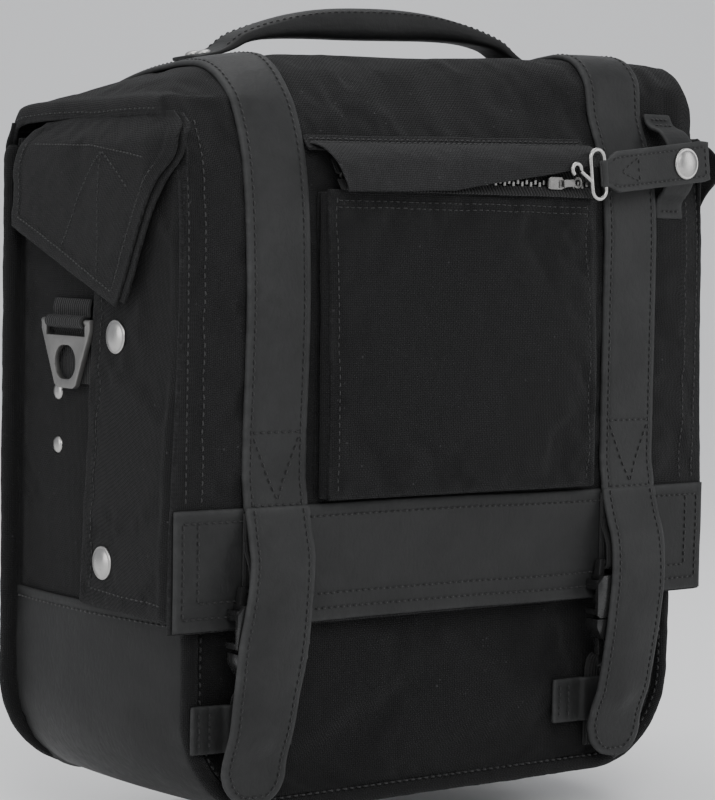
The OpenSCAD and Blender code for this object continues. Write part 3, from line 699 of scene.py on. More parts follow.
def metal(name, tone, rough, brushed=0.0):
    s = Shader(name)
    place = s.coords("Object")
    mottle = s.noise(place, scale=220, detail=4, rough=0.6)
    brush = s.noise(s.stretch(place, 1.0, 1.0, 9.0), scale=700)
    spots = s.remap(s.noise(place, scale=520, detail=3, rough=0.7), start=0.62, end=0.72)
    value = s.times(s.level(mottle, gain=0.22, base=0.9), s.level(spots, gain=-0.25, base=1.0),
                    tone)
    roughness = s.add(s.level(mottle, gain=0.22, base=rough - 0.1), s.times(brush, brushed))
    normal = s.bump(s.add(brush, mottle), distance=0.00008, strength=0.5)
    return s.finish(s.colour(value, tint=(1.0, 0.985, 0.955)), roughness, normal, metallic=1.0)


def plastic(name, tone, rough, grain):
    s = Shader(name)
    place = s.coords("Object")
    fine = s.noise(place, scale=1300, detail=3, rough=0.6)
    cloud = s.noise(place, scale=90, detail=3)
    value = s.times(s.level(cloud, gain=0.5, base=0.75), tone, s.level(fine, gain=0.2, base=0.9))
    return s.finish(s.colour(value), s.level(cloud, gain=0.2, base=rough - 0.1),
                    s.bump(fine, distance=0.00012, strength=grain))


FAB_LID = fabric("cordura_lid", tone=0.0118)
FAB_FLAP = fabric("cordura_flap", tone=0.0096)
FAB_POCKET = fabric("cordura_pocket", tone=0.0100)
FAB_BODY = fabric("cordura_body", tone=0.0085)
FAB_EAR = fabric("cordura_ear", tone=0.0122)
# The storm flap's cloth has about twice the tone of the other cordura: painted highlight for the light
# along its rolled lower edge.
FAB_STORM_LIT = fabric("cordura_storm_flap_lit", tone=0.0205)
FAB_PIPE = fabric("cordura_piping", tone=0.0085, pitch=0.00105)
LINING = fabric("lining_cloth", tone=0.05, pitch=0.0005, wear=0.2)
LEATHER = leather("leather_straps", tone=0.0180)
LEATHER_BAND = leather("leather_band", tone=0.0152)
# The handle's leather has a lower tone than the straps: painted shade for the shaded flanks and
# underside of the grip.
LEATHER_GRIP_SHADED = leather("leather_handle_shaded", tone=0.0122)
LEATHER_BOOT = leather("leather_boot", tone=0.0140, wear=0.6)
WEB = webbing("webbing_black", tone=0.010)
THREAD_DARK = thread("thread_dark", tone=0.0035)
# The grey thread is lighter than the dark thread: painted highlight for the light the thread catches.
THREAD_GREY_LIT = thread("thread_grey_lit", tone=0.0145)
NICKEL = metal("nickel_bright", tone=0.42, rough=0.30)
SATIN = metal("nickel_satin", tone=0.22, rough=0.42, brushed=0.15)
ZIP_METAL = metal("zip_nickel", tone=0.20, rough=0.36)
PLASTIC = plastic("plastic_buckle", tone=0.012, rough=0.26, grain=0.5)
PLASTIC_HOOKS = plastic("plastic_hooks", tone=0.016, rough=0.48, grain=0.8)
BOARD = plastic("board_grey", tone=0.05, rough=0.7, grain=1.0)
ALUMINIUM = metal("aluminium_dark", tone=0.22, rough=0.45, brushed=0.2)


def finish(o, material, slot, holder, *replaced):
    """holder is a body's name, which the piece is parented to, or (body, next body, point, point), of
    which nothing is read: the piece's transform is baked in instead; replaced names the CAD pieces
    this one stands in for"""
    o.data.materials.clear()
    o.data.materials.append(material)
    if isinstance(holder, str):
        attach(o, holder)
    else:
        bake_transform(o)
    if replaced:
        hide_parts(*replaced)


def once(sign, *names):
    """CAD pieces that hold both sides are replaced with the right one"""
    return names if sign > 0 else ()


def sew(name, lines, material, slot, holder, pitch, length=2.7, radius=0.5, seed=3):
    finish(stitches(name + "_stitches", lines, pitch, length, radius, seed),
           material, slot, holder)


# ------------------------------------------------------------------ shared shapes
def half_width(y, z):
    """half width of the body, fuller in the middle of its sides"""
    t = (np.asarray(y, float) - FRONT_Y) / (BACK_Y - FRONT_Y)
    rise = np.clip((np.asarray(z, float) - CORNER_R) / (MOUTH_Z - CORNER_R), 0, 1)
    bulge = SIDE_BULGE * np.sin(math.pi * np.clip(t, 0, 1))
    return FRONT_HALF + (BACK_HALF - FRONT_HALF) * t + bulge * (0.86 + 0.14 * np.sin(math.pi * rise))


# Outer face of lid and flap, (y, z) from the back edge over the crown and down the front
PROFILE = smooth([
    [80.5, 348.5], [78.6, 354.5], [72.5, 361], [60, 367.8], [40, 375.8], [16, 382.2],
    [-8, 386.6], [-30, 388.2], [-43, 386.2], [-53, 380.6], [-62, 371.6], [-70, 361],
    [-76.8, 348.2], [-81.6, 334.5], [-84.9, 318], [-86.5, 300], [FLAP_Y, 280], [FLAP_Y, 161],
    [FLAP_Y, 99.5]], step=1.0)
PROFILE_S = run(PROFILE)
_tangent = unit(np.gradient(PROFILE, axis=0))
PROFILE_N = np.stack([_tangent[:, 1], -_tangent[:, 0]], 1)
for _ in range(6):
    _even = (PROFILE_N[:-2] + 2 * PROFILE_N[1:-1] + PROFILE_N[2:]) / 4
    PROFILE_N = unit(np.concatenate([PROFILE_N[:1], _even, PROFILE_N[-1:]]))


def s_at(y, z):
    """run along the profile of its point nearest to (y, z)"""
    return PROFILE_S[np.argmin((PROFILE[:, 0] - y) ** 2 + (PROFILE[:, 1] - z) ** 2)]


def on_profile(s, column, table=PROFILE):
    return np.interp(s, PROFILE_S, table[:, column])


S_SHOULDER, S_FOLD, S_END = s_at(-60, 374), s_at(-62, 371.6), PROFILE_S[-1]


def drop(x, z):
    """how far the crown falls away towards the ends; the right end falls less"""
    x = np.asarray(x, float)
    fall = np.maximum(0, z - SWELL_Z) * np.minimum(1.08, np.abs(x) / 175) ** 4
    fuller = 1 - 0.62 * ease(x, 40, 150)
    lift = 0.036 * np.maximum(0, x + 100) * ease(z, 362, 384)
    return fall * fuller - lift


def flare(z):
    """the lower edge of the flap stands a little wider"""
    return 4.5 * ease(-np.asarray(z, float), -270, -115)


def shoulder(s, x):
    """the right half of the lid stands fuller at its front shoulder"""
    s = np.asarray(s, float) - S_SHOULDER
    width = np.where(s < 0, 26, 12)
    return 11.0 * bell(s, width) * ease(np.asarray(x, float), 10, 150)


def lid_xyz(s, x, out=0.0):
    """point on the lid at run s and side place x, a distance out from its face"""
    out = out + shoulder(s, x)
    z = on_profile(s, 1)
    return (x, on_profile(s, 0) + out * on_profile(s, 0, PROFILE_N),
            z + out * on_profile(s, 1, PROFILE_N) - drop(x, z))


LID_TO_FLAP = ("lid", "flap", (0, -56, 366), (0, -84, 350))


# ------------------------------------------------------------------ side walls and boot
def side_wall(sign, side):
    points = grid(lambda z, y: (sign * half_width(y, z), y, z),
                  np.linspace(MOUTH_Z - 0.5, 95, 46), np.linspace(FRONT_Y, BACK_Y, 27))
    pin = border_pin(46, 27)
    pin[-2:] = 1
    points = cloth(points, pin, grow=0.016, limits=(-3.2, 1.0), seed=11 if sign > 0 else 23,
                   bend=1.2)
    # the back edge turns out to the rolled edge
    turned_out = [points[:, -1] + [sign * 1.2, 1.6, 0], points[:, -1] + [sign * 3.0, 3.4, 0]]
    sheet = Sheet(refine(np.concatenate([points, np.stack(turned_out, 1)], 1)))
    along, across, gap = sheet.measure()
    sheet.bump(0.35 * fbm(along / 9, across / 14, seed=5 + sign, octaves=2) * fade(gap, 7)
               + 0.25 * fbm(along / 26, across / 22, seed=9 + sign, octaves=2))
    finish(sheet.solid("side_wall_" + side + "_cloth", BODY_T), FAB_BODY, "cordura", "bag",
           "side_wall_" + side)


def boot(sign, side):
    top_z, inner_x, outer_r = 103.2, 105.6, CORNER_R + BOOT_OUT
    rows = []
    for y in np.linspace(FRONT_Y + 0.6, BACK_Y - 0.6, 66):
        centre_x = half_width(y, CORNER_R) - CORNER_R
        row = [(sign * (half_width(y, z) + BOOT_OUT), y, z) for z in np.linspace(top_z, 54, 26)]
        row += [(sign * (centre_x + outer_r * math.cos(a)), y, outer_r - outer_r * math.sin(a))
                for a in np.radians(np.linspace(0, 90, 44))]
        row += [(sign * x, y, 0.0) for x in np.linspace(centre_x - 2, inner_x, 7)]
        rows.append(row)
    # the rear edge turns out behind the rolled edge
    rear = rows[-1]
    for back, out in ((1.6, 0.5), (3.2, 1.4)):
        rows.append([(x + sign * out * (z > 52), y + back, z - out * (z <= 52) * (z > 1))
                     for x, y, z in rear])
    sheet = Sheet(np.array(rows, float).transpose(1, 0, 2))
    along, across, gap = sheet.measure()
    z = sheet.points[..., 2]
    off_floor = ease(z, 1.0, 14.0)
    near = fade(gap, 9)
    corner = ease(80 - z, 0, 40) * off_floor
    sheet.bump(0.5 * fbm(along / 34, across / 40, seed=31 + sign) * off_floor
               + 0.9 * near * corner * fbm(along / 6.5, across / 16, seed=41 + sign, octaves=2)
               - 0.8 * near * off_floor - 0.45 * bell(along - 4.5, 1.0)
               + 0.5 * bell(along - 1.0, 2.0))
    finish(sheet.solid("boot_" + side + "_leather", BOOT_T, uv_shift=(300 * sign, 0)),
           LEATHER_BOOT, "leather", "bag", "boot_" + side)
    sew("boot_" + side, [sheet.line([(4.5, 2), (4.5, sheet.width - 2)])],
        THREAD_GREY_LIT, "leather", "bag", pitch=4.0)


for sign, side in SIDES:
    side_wall(sign, side)
    boot(sign, side)


# ------------------------------------------------------------------ front and back panels
def panel_half(z, half, radius, bottom):
    """half width of a panel with round lower corners"""
    t = np.clip((bottom + radius - z) / radius, 0, 1)
    return half - radius + radius * np.sqrt(np.maximum(0, 1 - t * t))


def panel_grid(half, radius, bottom, top, y, rows, cols):
    return grid(lambda z, s: (s * panel_half(z, half, radius, bottom), y, z),
                np.linspace(top, bottom, rows), np.linspace(-1, 1, cols))


PANEL_MIDDLE = (0, 0, 150)

points = panel_grid(half=153.2, radius=46, bottom=9, top=338, y=-76, rows=60, cols=55)
# the lowest row lies just above the bottom, so that it keeps some width
points = grid(lambda z, s: (s * panel_half(z, 153.2, 46, 9), -76, z),
              np.linspace(338, 9.3, 60), np.linspace(-1, 1, 55))
points = cloth(points, border_pin(60, 55), grow=0.014, limits=(-1.6, 2.6), seed=51, bend=1.0,
               away_from=(0, 24, 150))
# fuller low down, where it shows below the flap
points[..., 1] -= (2.6 * bell(points[..., 2] - 52, 34)
                   * np.clip(1 - (points[..., 0] / 150) ** 4, 0, 1))
sheet = Sheet(refine(points), PANEL_MIDDLE)
along, across, _ = sheet.measure()
sheet.bump(0.3 * fbm(along / 18, across / 24, seed=77))
finish(sheet.solid("front_panel_cloth", BODY_T), FAB_BODY, "cordura", "bag", "front_panel")

points = grid(lambda z, s: (s * panel_half(z, 172.2, 50, 10.6), 75, z),
              np.linspace(342.5, 10.9, 56), np.linspace(-1, 1, 50))
points = cloth(points, border_pin(56, 50), grow=0.010, limits=(-1.2, 0.3), seed=61, bend=1.0,
               away_from=(0, -25, 150))
sheet = Sheet(refine(points), PANEL_MIDDLE)
finish(sheet.solid("back_panel_cloth", BODY_T), FAB_BODY, "cordura", "bag", "back_panel")

# ------------------------------------------------------------------ base
# leather under
points = grid(lambda x, y: (x, y, 0.0), np.linspace(-104.6, 104.6, 60),
              np.linspace(-69.4, 69.4, 40))
sheet = Sheet(points, (0, 0, 100))
finish(sheet.solid("base_leather", BOOT_T, uv_shift=(900, 0)), LEATHER_BOOT, "leather", "bag",
       "base_panel")
lines = [sheet.line([(along, 3), (along, 136)]) for along in (3.5, 205.7)]
sew("base", [(points + [0, 0, 0.25], normals) for points, normals in lines],
    THREAD_DARK, "leather", "bag", pitch=4.2)
# cloth above
points = grid(lambda x, y: (x, y, 5.8), np.linspace(-104.8, 104.8, 30), np.linspace(-71, 71, 24))
finish(Sheet(points, (0, 0, -100)).solid("bottom_wall_cloth", 2.8), FAB_BODY, "cordura", "bag",
       "bottom_wall")


# ------------------------------------------------------------------ rolled edges
def roll_path(half, radius, y, bottom, top, step=2.6):
    """down the left side, along the bottom and up the right side"""
    turn = np.radians(np.linspace(0, 90, 20))
    low = bottom + radius
    path = [(-half, z) for z in np.linspace(top, low, 60)[:-1]]
    path += [(-half + radius - radius * math.cos(t), low - radius * math.sin(t)) for t in turn]
    path += [(x, bottom) for x in np.linspace(-half + radius, half - radius, 60)[1:-1]]
    path += [(half - radius + radius * math.sin(t), low - radius * math.cos(t)) for t in turn]
    path += [(half, z) for z in np.linspace(low, top, 60)[1:]]
    path = resample(path, step=step)
    return np.stack([path[:, 0], np.full(len(path), y), path[:, 1]], 1)


END_TAPER = np.array([0.45, 0.8, 0.95])
# half width, tube radius, y, bottom, top, seed: front, then back
ROLLS = ((157.8, 4.3, -76.2, 4.6, 318, 3), (176.4, 5.0, 77, 6.4, 340, 8))
pipes = []
for half, tube_r, y, bottom, top, seed in ROLLS:
    path = roll_path(half, CORNER_R, y, bottom, top)
    low = ease(110 - path[:, 2], 0, 60)
    radius = tube_r * (1 + 0.035 * noise(run(path) / 22, 0, seed)) * (1 - 0.02 * low)
    radius[:3] *= END_TAPER
    radius[-3:] *= END_TAPER[::-1]
    pipes.append(crinkled_tube("pipe", path, radius, seg=18, crinkle=0.38, wave=5.0, seed=seed))
finish(join("edge_piping_cloth", pipes), FAB_PIPE, "cordura", "bag", "edge_piping")

# stitches through the seam beside the rolled edges: half width, y, bottom, top, facing
lines = []
for half, y, bottom, top, facing in ((153.6, -79.4, 9.2, 316, -1.0), (171.0, 76.2, 12.4, 336, 1.0)):
    path = roll_path(half, 46, y, bottom, top, step=3.0)
    lines.append((path, np.tile([0.0, facing, 0.0], (len(path), 1))))
sew("piping", lines, THREAD_DARK, "cordura", "bag", pitch=4.4)

# ------------------------------------------------------------------ lining
LINING_T = 0.8
LINING_HALF, LINING_R, LINING_BOTTOM, LINING_TOP = 150.6, 44, 7, 340.5
LINING_FRONT, LINING_BACK = -70.6, 65.6
parts = []
for y, beyond in ((LINING_FRONT, -400), (LINING_BACK, 400)):
    points = grid(lambda z, s: (s * panel_half(z, LINING_HALF, LINING_R, LINING_BOTTOM), y, z),
                  np.linspace(LINING_TOP, 7.4, 60), np.linspace(-1, 1, 50))
    along, across = np.meshgrid(np.linspace(0, 333, 60), np.linspace(0, 301, 50), indexing="ij")
    sheet = Sheet(points, (0, beyond, 150))
    sheet.bump((1 - border_pin(60, 50, width=2)) * (0.8 + 0.7 * fbm(along / 40, across / 45, seed=91)))
    parts.append(sheet.solid("part", LINING_T))
# side and bottom strip
flat, low = LINING_HALF - LINING_R, LINING_BOTTOM + LINING_R
heights, turn = np.linspace(LINING_TOP, low, 50), np.radians(np.linspace(0, 90, 20))
path = [(-LINING_HALF, z) for z in heights]
path += [(-flat - LINING_R * math.cos(t), low - LINING_R * math.sin(t)) for t in turn[1:]]
path += [(x, LINING_BOTTOM) for x in np.linspace(-flat, flat, 40)[1:-1]]
path += [(flat + LINING_R * math.sin(t), low - LINING_R * math.cos(t)) for t in turn]
path = np.array(path + [(LINING_HALF, z) for z in heights[::-1][1:]])
points = grid(lambda k, y: (path[k, 0], y, path[k, 1]), np.arange(len(path)),
              np.linspace(LINING_FRONT, LINING_BACK, 30))
sheet = Sheet(points, (0, 0, 170))
sheet.turn_over()
parts.append(sheet.solid("part", LINING_T))
finish(join("lining_cloth", parts), LINING, "lining", "bag", "lining")


# ------------------------------------------------------------------ lid and flap
def lid_grid(rows, cols):
    """lid and flap as one sheet, with a turned-down side hem on the lid"""
    s, q = np.meshgrid(np.linspace(0, S_END, rows), np.linspace(-1, 1, cols), indexing="ij")
    # how much side hem there is at each row
    hem = 1 - ease(s, S_FOLD + 4, s_at(-84.9, 318))
    z_face = on_profile(s, 1)
    end_x = LID_HALF - 0.7 * hem
    radius = 5.0 * hem + 0.01
    # the hem is deeper where the crown stands higher, so its free edge stays level
    rise = (np.maximum(0, z_face - SWELL_Z) - drop(np.sign(q) * end_x, z_face)
            + 0.7 * shoulder(s, end_x))
    down = 5.4 * hem + 0.01 + hem * rise * (q > 0)
    arc = radius * math.pi / 2
    flat = 1 - (1 - 0.86) * hem * 0.55 - 1e-6      # share of the columns on the flat
    t = np.abs(q)
    x = np.where(t < flat, t / flat * end_x, end_x)
    v = np.clip((t - flat) / (1 - flat), 0, 1) * (arc + down)
    ang = np.clip(v / radius, 0, math.pi / 2)
    hem_x = np.where(v > 0, radius * np.sin(ang), 0)
    hem_z = np.where(v > 0, radius * (1 - np.cos(ang)) + np.clip(v - arc, 0, None), 0)
    x = np.sign(q) * (x + hem_x)
    x = x + flare(z_face) * np.sign(q) * ease(np.abs(x), 136, LID_HALF + 0.6)
    _, y, z = lid_xyz(s, np.sign(q) * np.minimum(np.abs(x), end_x))
    return np.stack([x, y, z - hem_z], -1), s, q, hem


points, s, q, hem = lid_grid(92, 79)
x_abs, y, z = np.abs(points[..., 0]), points[..., 1], points[..., 2]
# held under the straps, at the ends, behind the pocket and behind the band
pin = np.zeros(points.shape[:2])
pin[np.abs(x_abs - STRAP_X) < STRAP_W / 2 - 1] = 1
pin[:2] = 1
pin[-2:] = 1
pin[x_abs > 166] = 1
pin[(z < 345) & (y < -60) & (x_abs < 96)] = 1
pin[(z < 166) & (y < -60)] = 1
pin[s < 16] = np.maximum(pin[s < 16], 0.8)
settled = cloth(points, pin, grow=0.011, limits=(-2.0, 1.5), seed=71, bend=2.2)
sag = (-2.2 * bell(points[..., 0], 75) * ease(s, 20, 60)
       * (1 - ease(s, S_FOLD - 40, S_FOLD + 5)))
settled[..., 2] += sag * (1 - pin)
# the free edge of the hem waves a little
side_of = np.sign(q)
edge = ease(np.abs(q), 0.86, 1.0) * hem
settled[..., 2] += 0.6 * edge * (1.3 * np.sin(s / 21.0 + 0.6 * side_of)
                                 + 0.8 * noise(s / 14, side_of, seed=5))
settled[..., 0] += side_of * edge * 0.9 * noise(s / 18, 2 + side_of, seed=15)
lid = Sheet(refine(settled), (0, 0, 200))
along, across, gap = lid.measure()
lid.bump(0.22 * fbm(along / 12, across / 12, seed=21, octaves=2)
         + 0.25 * fade(gap, 5) * fbm(along / 7, across / 9, seed=27, octaves=2))
finish(lid.solid("lid_and_flap_cloth", 2.3, wear=1.6), FAB_LID, "cordura", LID_TO_FLAP,
       "lid_panel", "flap_front")


def on_flap(x, top, bottom):
    """line down the hanging flap at x, on the finished sheet"""
    points, normals = [], []
    middle = lid.points.shape[1] // 2
    for i in np.nonzero(lid.points[:, middle, 1] < -60)[0]:
        row = lid.points[i]
        z = np.interp(x, row[:, 0], row[:, 2])
        if bottom <= z <= top:
            points.append([x, np.interp(x, row[:, 0], row[:, 1]), z])
            normals.append([np.interp(x, row[:, 0], lid.normals[i][:, k]) for k in range(3)])
    return np.array(points), unit(np.array(normals))


# two upright rows near each side of the flap
sew("flap_seam", [on_flap(x, 352, 161) for x in (-168.2, -159.2, 168.2, 159.2)],
    THREAD_GREY_LIT, "cordura", LID_TO_FLAP, pitch=4.2, radius=0.4)
# a row along each side of the lid
lines = [lid.line([(10 / S_END, (q + 1) / 2), ((S_FOLD + 10) / S_END, (q + 1) / 2)],
                  n=80, shares=True) for q in (-0.985, 0.985)]
sew("lid_hem", lines, THREAD_DARK, "cordura", LID_TO_FLAP, pitch=4.4, radius=0.38)

# back strip: the lid is sewn to the back of the bag here
BACK_TO_LID = ("bag", "lid", (0, 80, 338), (0, 80, 352))


def back_strip(v, s):
    """v runs down, s from left to right"""
    half, top = 178.4, 351.5
    a = np.abs(s * half)
    low = 335 - 22 * ease(a, 140, 156)
    y = (80.9 + 1.6 * np.sin(math.pi * v) + 2.4 * ease(a, 157, 169)
         - ease(a, 170, half) * (3.0 + 4.5 * (1 - ease(v, 0, 0.32))))
    return s * half - s * 2.0 * np.clip(v - 0.5, 0, 1), y, top + (low - top) * v


sheet = Sheet(grid(back_strip, np.linspace(0, 1, 14), np.linspace(-1, 1, 90)), (0, 0, 340))
along, across, _ = sheet.measure()
sheet.bump(0.4 * fbm(along / 10, across / 22, seed=12, octaves=2))
finish(sheet.solid("lid_back_strip", 1.8), FAB_LID, "cordura", BACK_TO_LID)
sew("lid_back", [sheet.line([(9.5, 4), (9.5, sheet.width - 4)], n=120)],
    THREAD_DARK, "cordura", BACK_TO_LID, pitch=4.4)


# ------------------------------------------------------------------ straps
def strap(sign, side):
    """over the lid and down the flap, ending at the leather band"""
    start, end = s_at(79.6, 351), s_at(FLAP_Y, 158.6)
    half = STRAP_W / 2 - 0.9

    def face(s, x):
        out = (3.3 + 2.2 * ease(s, s_at(FLAP_Y, 176), s_at(FLAP_Y, 160))
               + 0.5 * np.sin(s / 31.0 + sign) * ease(s, 30, 80)
               + 0.5 * fbm(s / 40, x / 30 + 7 * sign, seed=33, octaves=2))
        x = sign * STRAP_X + x + 0.5 * noise(s / 70, sign, seed=4)
        return lid_xyz(s, x, np.maximum(out, 2.9))

    sheet = Sheet(grid(face, np.linspace(start, end, int((end - start) / 2.0)),
                       np.linspace(-half, half, 33)), (0, 0, 200))
    along, across, gap = sheet.measure()
    # a stitched box between these heights on the flap
    middle_z = sheet.points[:, 16, 2]
    crown = int(np.argmax(middle_z))
    box_top, box_low = (float(np.interp(-z, -middle_z[crown:], sheet.along[crown:]))
                        for z in (196.5, 160.5))
    sheet.bump(-0.5 * bell(gap - SEAM_IN, GROOVE_W) - 0.4 * fade(gap, 0.7)
               - 0.35 * bell(along - box_top, GROOVE_W)
               + 0.35 * bell(along - box_top - 18, 14)
               * np.clip(1 - ((across - 18) / 14) ** 2, 0, 1))
    finish(sheet.solid("strap_" + side, STRAP_T, wear=1.5, uv_shift=(500 * sign, 0)), LEATHER,
           "leather", LID_TO_FLAP, *once(sign, "strap_tops", "strap_fronts"))
    length, width = sheet.length, sheet.width
    lines = [sheet.line([(4, b), (length - 1, b)], n=300) for b in (SEAM_IN, width - SEAM_IN)]
    lines += [sheet.line([(a, SEAM_IN), (a, width - SEAM_IN)]) for a in (box_top, box_low)]
    lines += [sheet.line([(box_top + 2, b), (box_low - 2, width / 2)]) for b in (4.5, width - 4.5)]
    lines.append(sheet.line([(5, 4), (5, width - 4)]))
    sew("strap_" + side, lines, THREAD_DARK, "leather", LID_TO_FLAP, pitch=3.9, seed=5 + sign)


for sign, side in SIDES:
    strap(sign, side)

# ------------------------------------------------------------------ strap tails
TAIL_END = 9.8
# inner face of a tail, (y, z) from the band down
TAIL_PATH = [
    (-90.2, 158.2), (-91.6, 153), (-94.6, 144), (-99.4, 132), (-102.2, 119), (-103, 96),
    (-102.8, 74), (-101.2, 60), (-98.6, 49.5), (-94.4, 41), (-90.6, 32), (-88.8, 22),
    (-88.2, TAIL_END)]
# sideways lean by height: heights, leans, extra lean and extra half width near z = 88
TAIL_LEAN = {
    1: ([10, 30, 43, 57, 71, 80, 91, 105, 125, 150],
        [-4.5, -6.4, -7.8, -8.0, -6.6, -5.0, -3.0, -1.2, -0.3, 0.0], 0.0, 0.0),
    -1: ([10, 30, 50, 66, 89, 112, 135, 150],
         [-10.0, -12.0, -13.0, -12.6, -9.6, -5.2, -1.2, 0.0], 1.0, 1.4)}


def tail(sign, side):
    holder = ("flap", "tail_" + side[0], (0, -93, 158), (0, -97, 147))
    end_r, groove_width = 17.5, 36.2
    end_z = TAIL_END + end_r
    path = smooth(TAIL_PATH, step=1.6)
    tangent = unit(np.gradient(path, axis=0))
    out = np.stack([tangent[:, 1], -tangent[:, 0]], 1)
    out = out * -np.sign(out[len(out) // 2, 0])
    face = path + out * (2.9 + 1.1 * bell(path[:, 1:] - 54, 26))
    s, z = run(path), path[:, 1]
    half = STRAP_W / 2 - 0.9 + 0.5 * bell(z - 100, 30)
    round_half = np.sqrt(np.maximum(0.6, end_r ** 2 - (end_z - z) ** 2))
    half = np.where(z < end_z, np.minimum(half, round_half), half)
    heights, leans, more_lean, more_half = TAIL_LEAN[sign]
    lean = relax(np.interp(z, heights, leans), 10) + more_lean * bell(z - 88, 21)
    half = half + more_half * bell(z - 88, 22)
    q = np.linspace(-1, 1, 35)
    x_local = q[None] * half[:, None]
    ends_flat = ease(s, 20, 50) * (1 - ease(s, s[-1] - 60, s[-1] - 20))
    cup = 1.6 * q[None] ** 2 * ends_flat[:, None]
    points = np.stack(np.broadcast_arrays(sign * STRAP_X + lean[:, None] + x_local,
                                          face[:, :1] + cup, face[:, 1:]), -1)
    sheet = Sheet(points, (0, 0, 120))
    along, across = np.meshgrid(s, (q + 1) / 2 * groove_width, indexing="ij")
    gap = np.minimum(across, groove_width - across)
    straight = (z > end_z)[:, None]
    # the last dent is a bulge over the lower webbing
    h = (-0.45 * bell(gap - SEAM_IN, GROOVE_W) * straight
         + 0.45 * fbm(along / 34, across / 26, seed=55 + sign)
         + 1.3 * np.exp(-(((z - 46)[:, None]) ** 2 + x_local ** 2) / 60.0)
         - 0.4 * fade(gap, 0.7) * straight)
    h[:3] = h[:3] * 0.2
    sheet.bump(h)
    finish(sheet.solid("tail_" + side + "_leather", STRAP_T, wear=1.4,
                       uv_shift=(700 + 90 * sign, 0)), LEATHER, "leather", holder, "tail_" + side)
    # one stitch line inside the outline, down one side and up the other
    rows = np.nonzero(z >= TAIL_END + 3.6)[0]
    z = z[rows]
    inset_round = np.sqrt(np.maximum(0.3, (end_r - SEAM_IN) ** 2 - (end_z - z) ** 2))
    inset = np.where(z < end_z, inset_round, np.maximum(half[rows] - SEAM_IN, 0.5))
    down, up = (sheet.at(rows.astype(float), (d * inset / half[rows] + 1) / 2 * (len(q) - 1))
                for d in (-1, 1))
    outline = tuple(np.concatenate([a, b[::-1]]) for a, b in zip(down, up))
    sew("tail_" + side, [outline], THREAD_DARK, "leather", holder, pitch=3.9, seed=9 + sign)


for sign, side in SIDES:
    tail(sign, side)

# ------------------------------------------------------------------ leather band
points = grid(lambda z, x: (x, -89.7 + 0.5 * fbm(x / 40, z / 30, seed=19, octaves=2),
                            z + 0.7 * noise(x / 60, 0, seed=8)),
              np.linspace(158.6, 100.3, 44), np.linspace(-174.6, 174.6, 230))
sheet = Sheet(points, (0, 0, 130))
along, across, gap = sheet.measure()
length, width = sheet.length, sheet.width
rows = (5.6, length - 5.6, length - 13.2)
h = -0.4 * bell(gap - 4.0, 1.0) - 0.35 * fade(np.minimum(np.minimum(along, length - along), gap), 0.8)
for a in rows:
    h = h - 0.4 * bell(along - a, GROOVE_W) * (gap > 3)
sheet.bump(h)
finish(sheet.solid("leather_band_piece", 2.2, wear=1.5), LEATHER_BAND, "leather", "flap",
       "leather_band")
lines = [sheet.line([(a, b), (a, width - b)], n=300) for a, b in zip(rows, (4, 4, 13))]
lines += [sheet.line([(5.6, b), (length - 5.6, b)]) for b in (4.0, width - 4.0)]
lines += [sheet.line([(5.6, b), (length - 13.2, b)]) for b in (12.6, width - 12.6)]
sew("leather_band", lines, THREAD_DARK, "leather", "flap", pitch=3.9)

# ------------------------------------------------------------------ pocket
POCKET_HALF, POCKET_TOP, POCKET_LOW = 86.3, 317.3, 162.6
POCKET_MIDDLE = (0, 0, 240)
points = grid(lambda z, x: (x, -97, z), np.linspace(POCKET_TOP, POCKET_LOW, 36),
              np.linspace(-POCKET_HALF, POCKET_HALF, 40))
points = cloth(points, border_pin(36, 40), grow=0.014, limits=(-1.0, 2.4), seed=81, bend=0.7,
               pressure=0.6, away_from=POCKET_MIDDLE)
across_share = points[..., 0] / POCKET_HALF
z = points[..., 2]
points[..., 0] -= 2.6 * ease(-points[..., 0], 20, 86) + (
    1.0 * ease(points[..., 0], 30, 86) * ease(z, 240, 317))
points[..., 1] += 4.6 * ease(z, 205, 318)
points[..., 1] -= (1.8 * np.clip(1 - across_share ** 2, 0, 1)
                   * np.clip(1 - ((z - 235) / 82) ** 2, 0, 1))
sheet = Sheet(refine(points), POCKET_MIDDLE)
along, across, gap = sheet.measure()
width = sheet.width
sheet.bump(0.2 * fbm(along / 11, across / 13, seed=14, octaves=2)
           - 0.3 * bell(gap - 4.5, GROOVE_W) - 0.35 * bell(along - 5, GROOVE_W))
finish(sheet.solid("pocket_face_cloth", 1.5, wear=1.5), FAB_POCKET, "cordura", "flap",
       "pocket_face")
lines = [sheet.line([(3, b), (sheet.length - 3, b)], n=120) for b in (4.5, width - 4.5)]
lines += [sheet.line([(a, 4.5), (a, width - 4.5)], n=120) for a in (5, 8.5)]
sew("pocket", lines, THREAD_GREY_LIT, "cordura", "flap", pitch=4.0, radius=0.30)

# gusset of the pocket: a folded strip on both sides and along the bottom
# fold, (distance from the middle, y) from the flap out to the pocket face
GUSSET_Y = -87.6
fold = smooth([(90.2, GUSSET_Y), (88.0, -89.0), (87.0, -90.4), (88.4, -91.6), (90.4, -92.4),
               (90.2, -93.6), (88.2, -95.0), (86.6, -95.9)], n=18)


def side_gusset(sign):
    shift = 2.4 if sign < 0 else 0.4

    def folded(z, k):
        shallow = 1 - 0.52 * ease(z, 205, 318)      # shallower towards the top
        x = sign * (fold[k, 0] + 0.5 * fbm(z / 20, k / 9, seed=3, octaves=2)) - shift
        return x, GUSSET_Y + (fold[k, 1] - GUSSET_Y) * shallow, z

    return grid(folded, np.linspace(316, 163, 60), np.arange(18))


